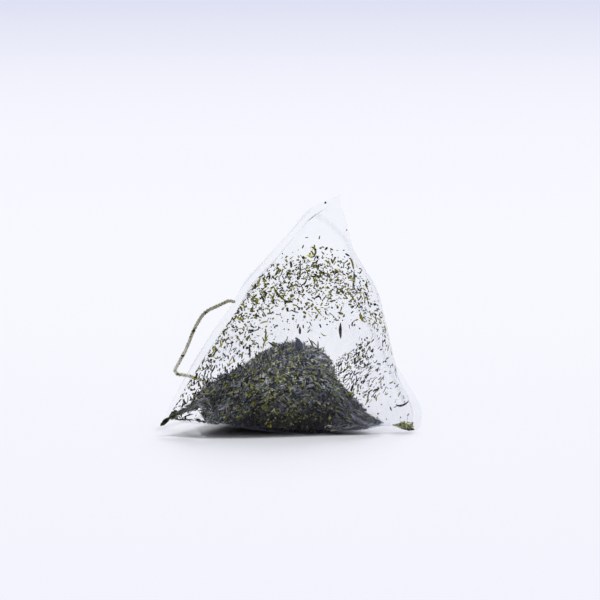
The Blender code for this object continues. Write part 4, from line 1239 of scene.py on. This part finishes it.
def floor_material():
    m, nt, out = new_material("floor")
    L = nt.links.new
    place = node(nt, "ShaderNodeTexCoord")
    split = node(nt, "ShaderNodeSeparateXYZ")
    L(place.outputs["Object"], split.inputs[0])
    low, high = FLOOR_TONES_AND_SHADE[0][0], FLOOR_TONES_AND_SHADE[-1][0]
    span = node(nt, "ShaderNodeMapRange")
    span.inputs["From Min"].default_value = low
    span.inputs["From Max"].default_value = high
    L(split.outputs["Y"], span.inputs["Value"])
    # painted shade in the floor's tone, darker far back and close to the front
    tone = ramp(nt, [((y - low) / (high - low), tuple(np.array(rgb(*c)) * FLOOR_GAIN)) for y, c in FLOOR_TONES_AND_SHADE], "B_SPLINE")
    L(span.outputs["Result"], tone.inputs["Fac"])
    grain = node(nt, "ShaderNodeTexNoise", Scale=900.0, Detail=2.0)
    L(place.outputs["Object"], grain.inputs["Vector"])
    bump = node(nt, "ShaderNodeBump", Strength=0.1, Distance=0.00002)
    L(grain.outputs["Fac"], bump.inputs["Height"])
    p = node(nt, "ShaderNodeBsdfPrincipled")
    L(tone.outputs["Color"], p.inputs["Base Color"])
    p.inputs["Roughness"].default_value = 0.95
    p.inputs["Specular IOR Level"].default_value = 0.0
    L(bump.outputs["Normal"], p.inputs["Normal"])
    L(p.outputs[0], out.inputs["Surface"])
    return m


FLOOR_GAIN = np.array([0.90, 0.90, 0.90, 1.0])
SKY_LOW, SKY_HIGH = 0.01, 1.0  # the tent's brightness at the horizon, and what is added straight up
TOP_LAMP, BACK_LAMP = 0.39, 0.4  # strengths of the lamp overhead and of the wide one behind, against the tent's 1.0
LIGHT = 1.02  # brightness of the whole tent
floor_mesh = bpy.data.meshes.new("floor")
floor_mesh.from_pydata([(-6, -3, 0), (6, -3, 0), (6, 12, 0), (-6, 12, 0)], [], [(0, 1, 2, 3)])
floor_mesh.materials.append(floor_material())
floor = bpy.data.objects.new("floor", floor_mesh)
bpy.context.scene.collection.objects.link(floor)

world = bpy.data.worlds.new("tent")
world.use_nodes = True
wt = world.node_tree
background = wt.nodes["Background"]
way_up = wt.nodes.new("ShaderNodeTexCoord")
wsplit = wt.nodes.new("ShaderNodeSeparateXYZ")
wt.links.new(way_up.outputs["Generated"], wsplit.inputs[0])
level = wt.nodes.new("ShaderNodeMapRange")
level.inputs["From Min"].default_value = 0.0
level.inputs["From Max"].default_value = 1.0
level.inputs["To Min"].default_value = SKY_LOW
level.inputs["To Max"].default_value = SKY_LOW + SKY_HIGH
wt.links.new(wsplit.outputs["Z"], level.inputs["Value"])
background.inputs["Color"].default_value = (0.98, 0.985, 1.01, 1.0)
steep = wt.nodes.new("ShaderNodeMath")
steep.operation = "POWER"
wt.links.new(level.outputs["Result"], steep.inputs[0])
steep.inputs[1].default_value = 2.5
gain = wt.nodes.new("ShaderNodeMath")
gain.operation = "MULTIPLY"
wt.links.new(steep.outputs[0], gain.inputs[0])
gain.inputs[1].default_value = LIGHT
wt.links.new(gain.outputs[0], background.inputs["Strength"])
bpy.context.scene.world = world

for name, strength, wide, toward in (("top_lamp", TOP_LAMP, 12, (0.28, 0.1, 1.0)), ("back_lamp", BACK_LAMP, 28, (0.15, 0.95, 1.0))):
    lamp_data = bpy.data.lights.new(name, "SUN")
    lamp_data.energy = strength * LIGHT * math.pi
    lamp_data.angle = math.radians(wide)
    lamp_data.color = (0.98, 0.985, 1.01)
    lamp = bpy.data.objects.new(name, lamp_data)
    lamp.rotation_euler = Vector(toward).to_track_quat("Z", "Y").to_euler()
    bpy.context.scene.collection.objects.link(lamp)

bpy.context.scene.view_settings.view_transform = "Standard"
bpy.context.scene.view_settings.look = "None"

# ------------------------------------------------------------------ hand the pieces over
for piece in (film, thread, fuzz, specks, tag, front_bits, back_bits, named_bits, *tea_pieces):
    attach(piece, "root")
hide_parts("bag_film")
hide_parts("tea_heap")
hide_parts("thread", "thread_coil", "thread_end")
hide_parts("tag")
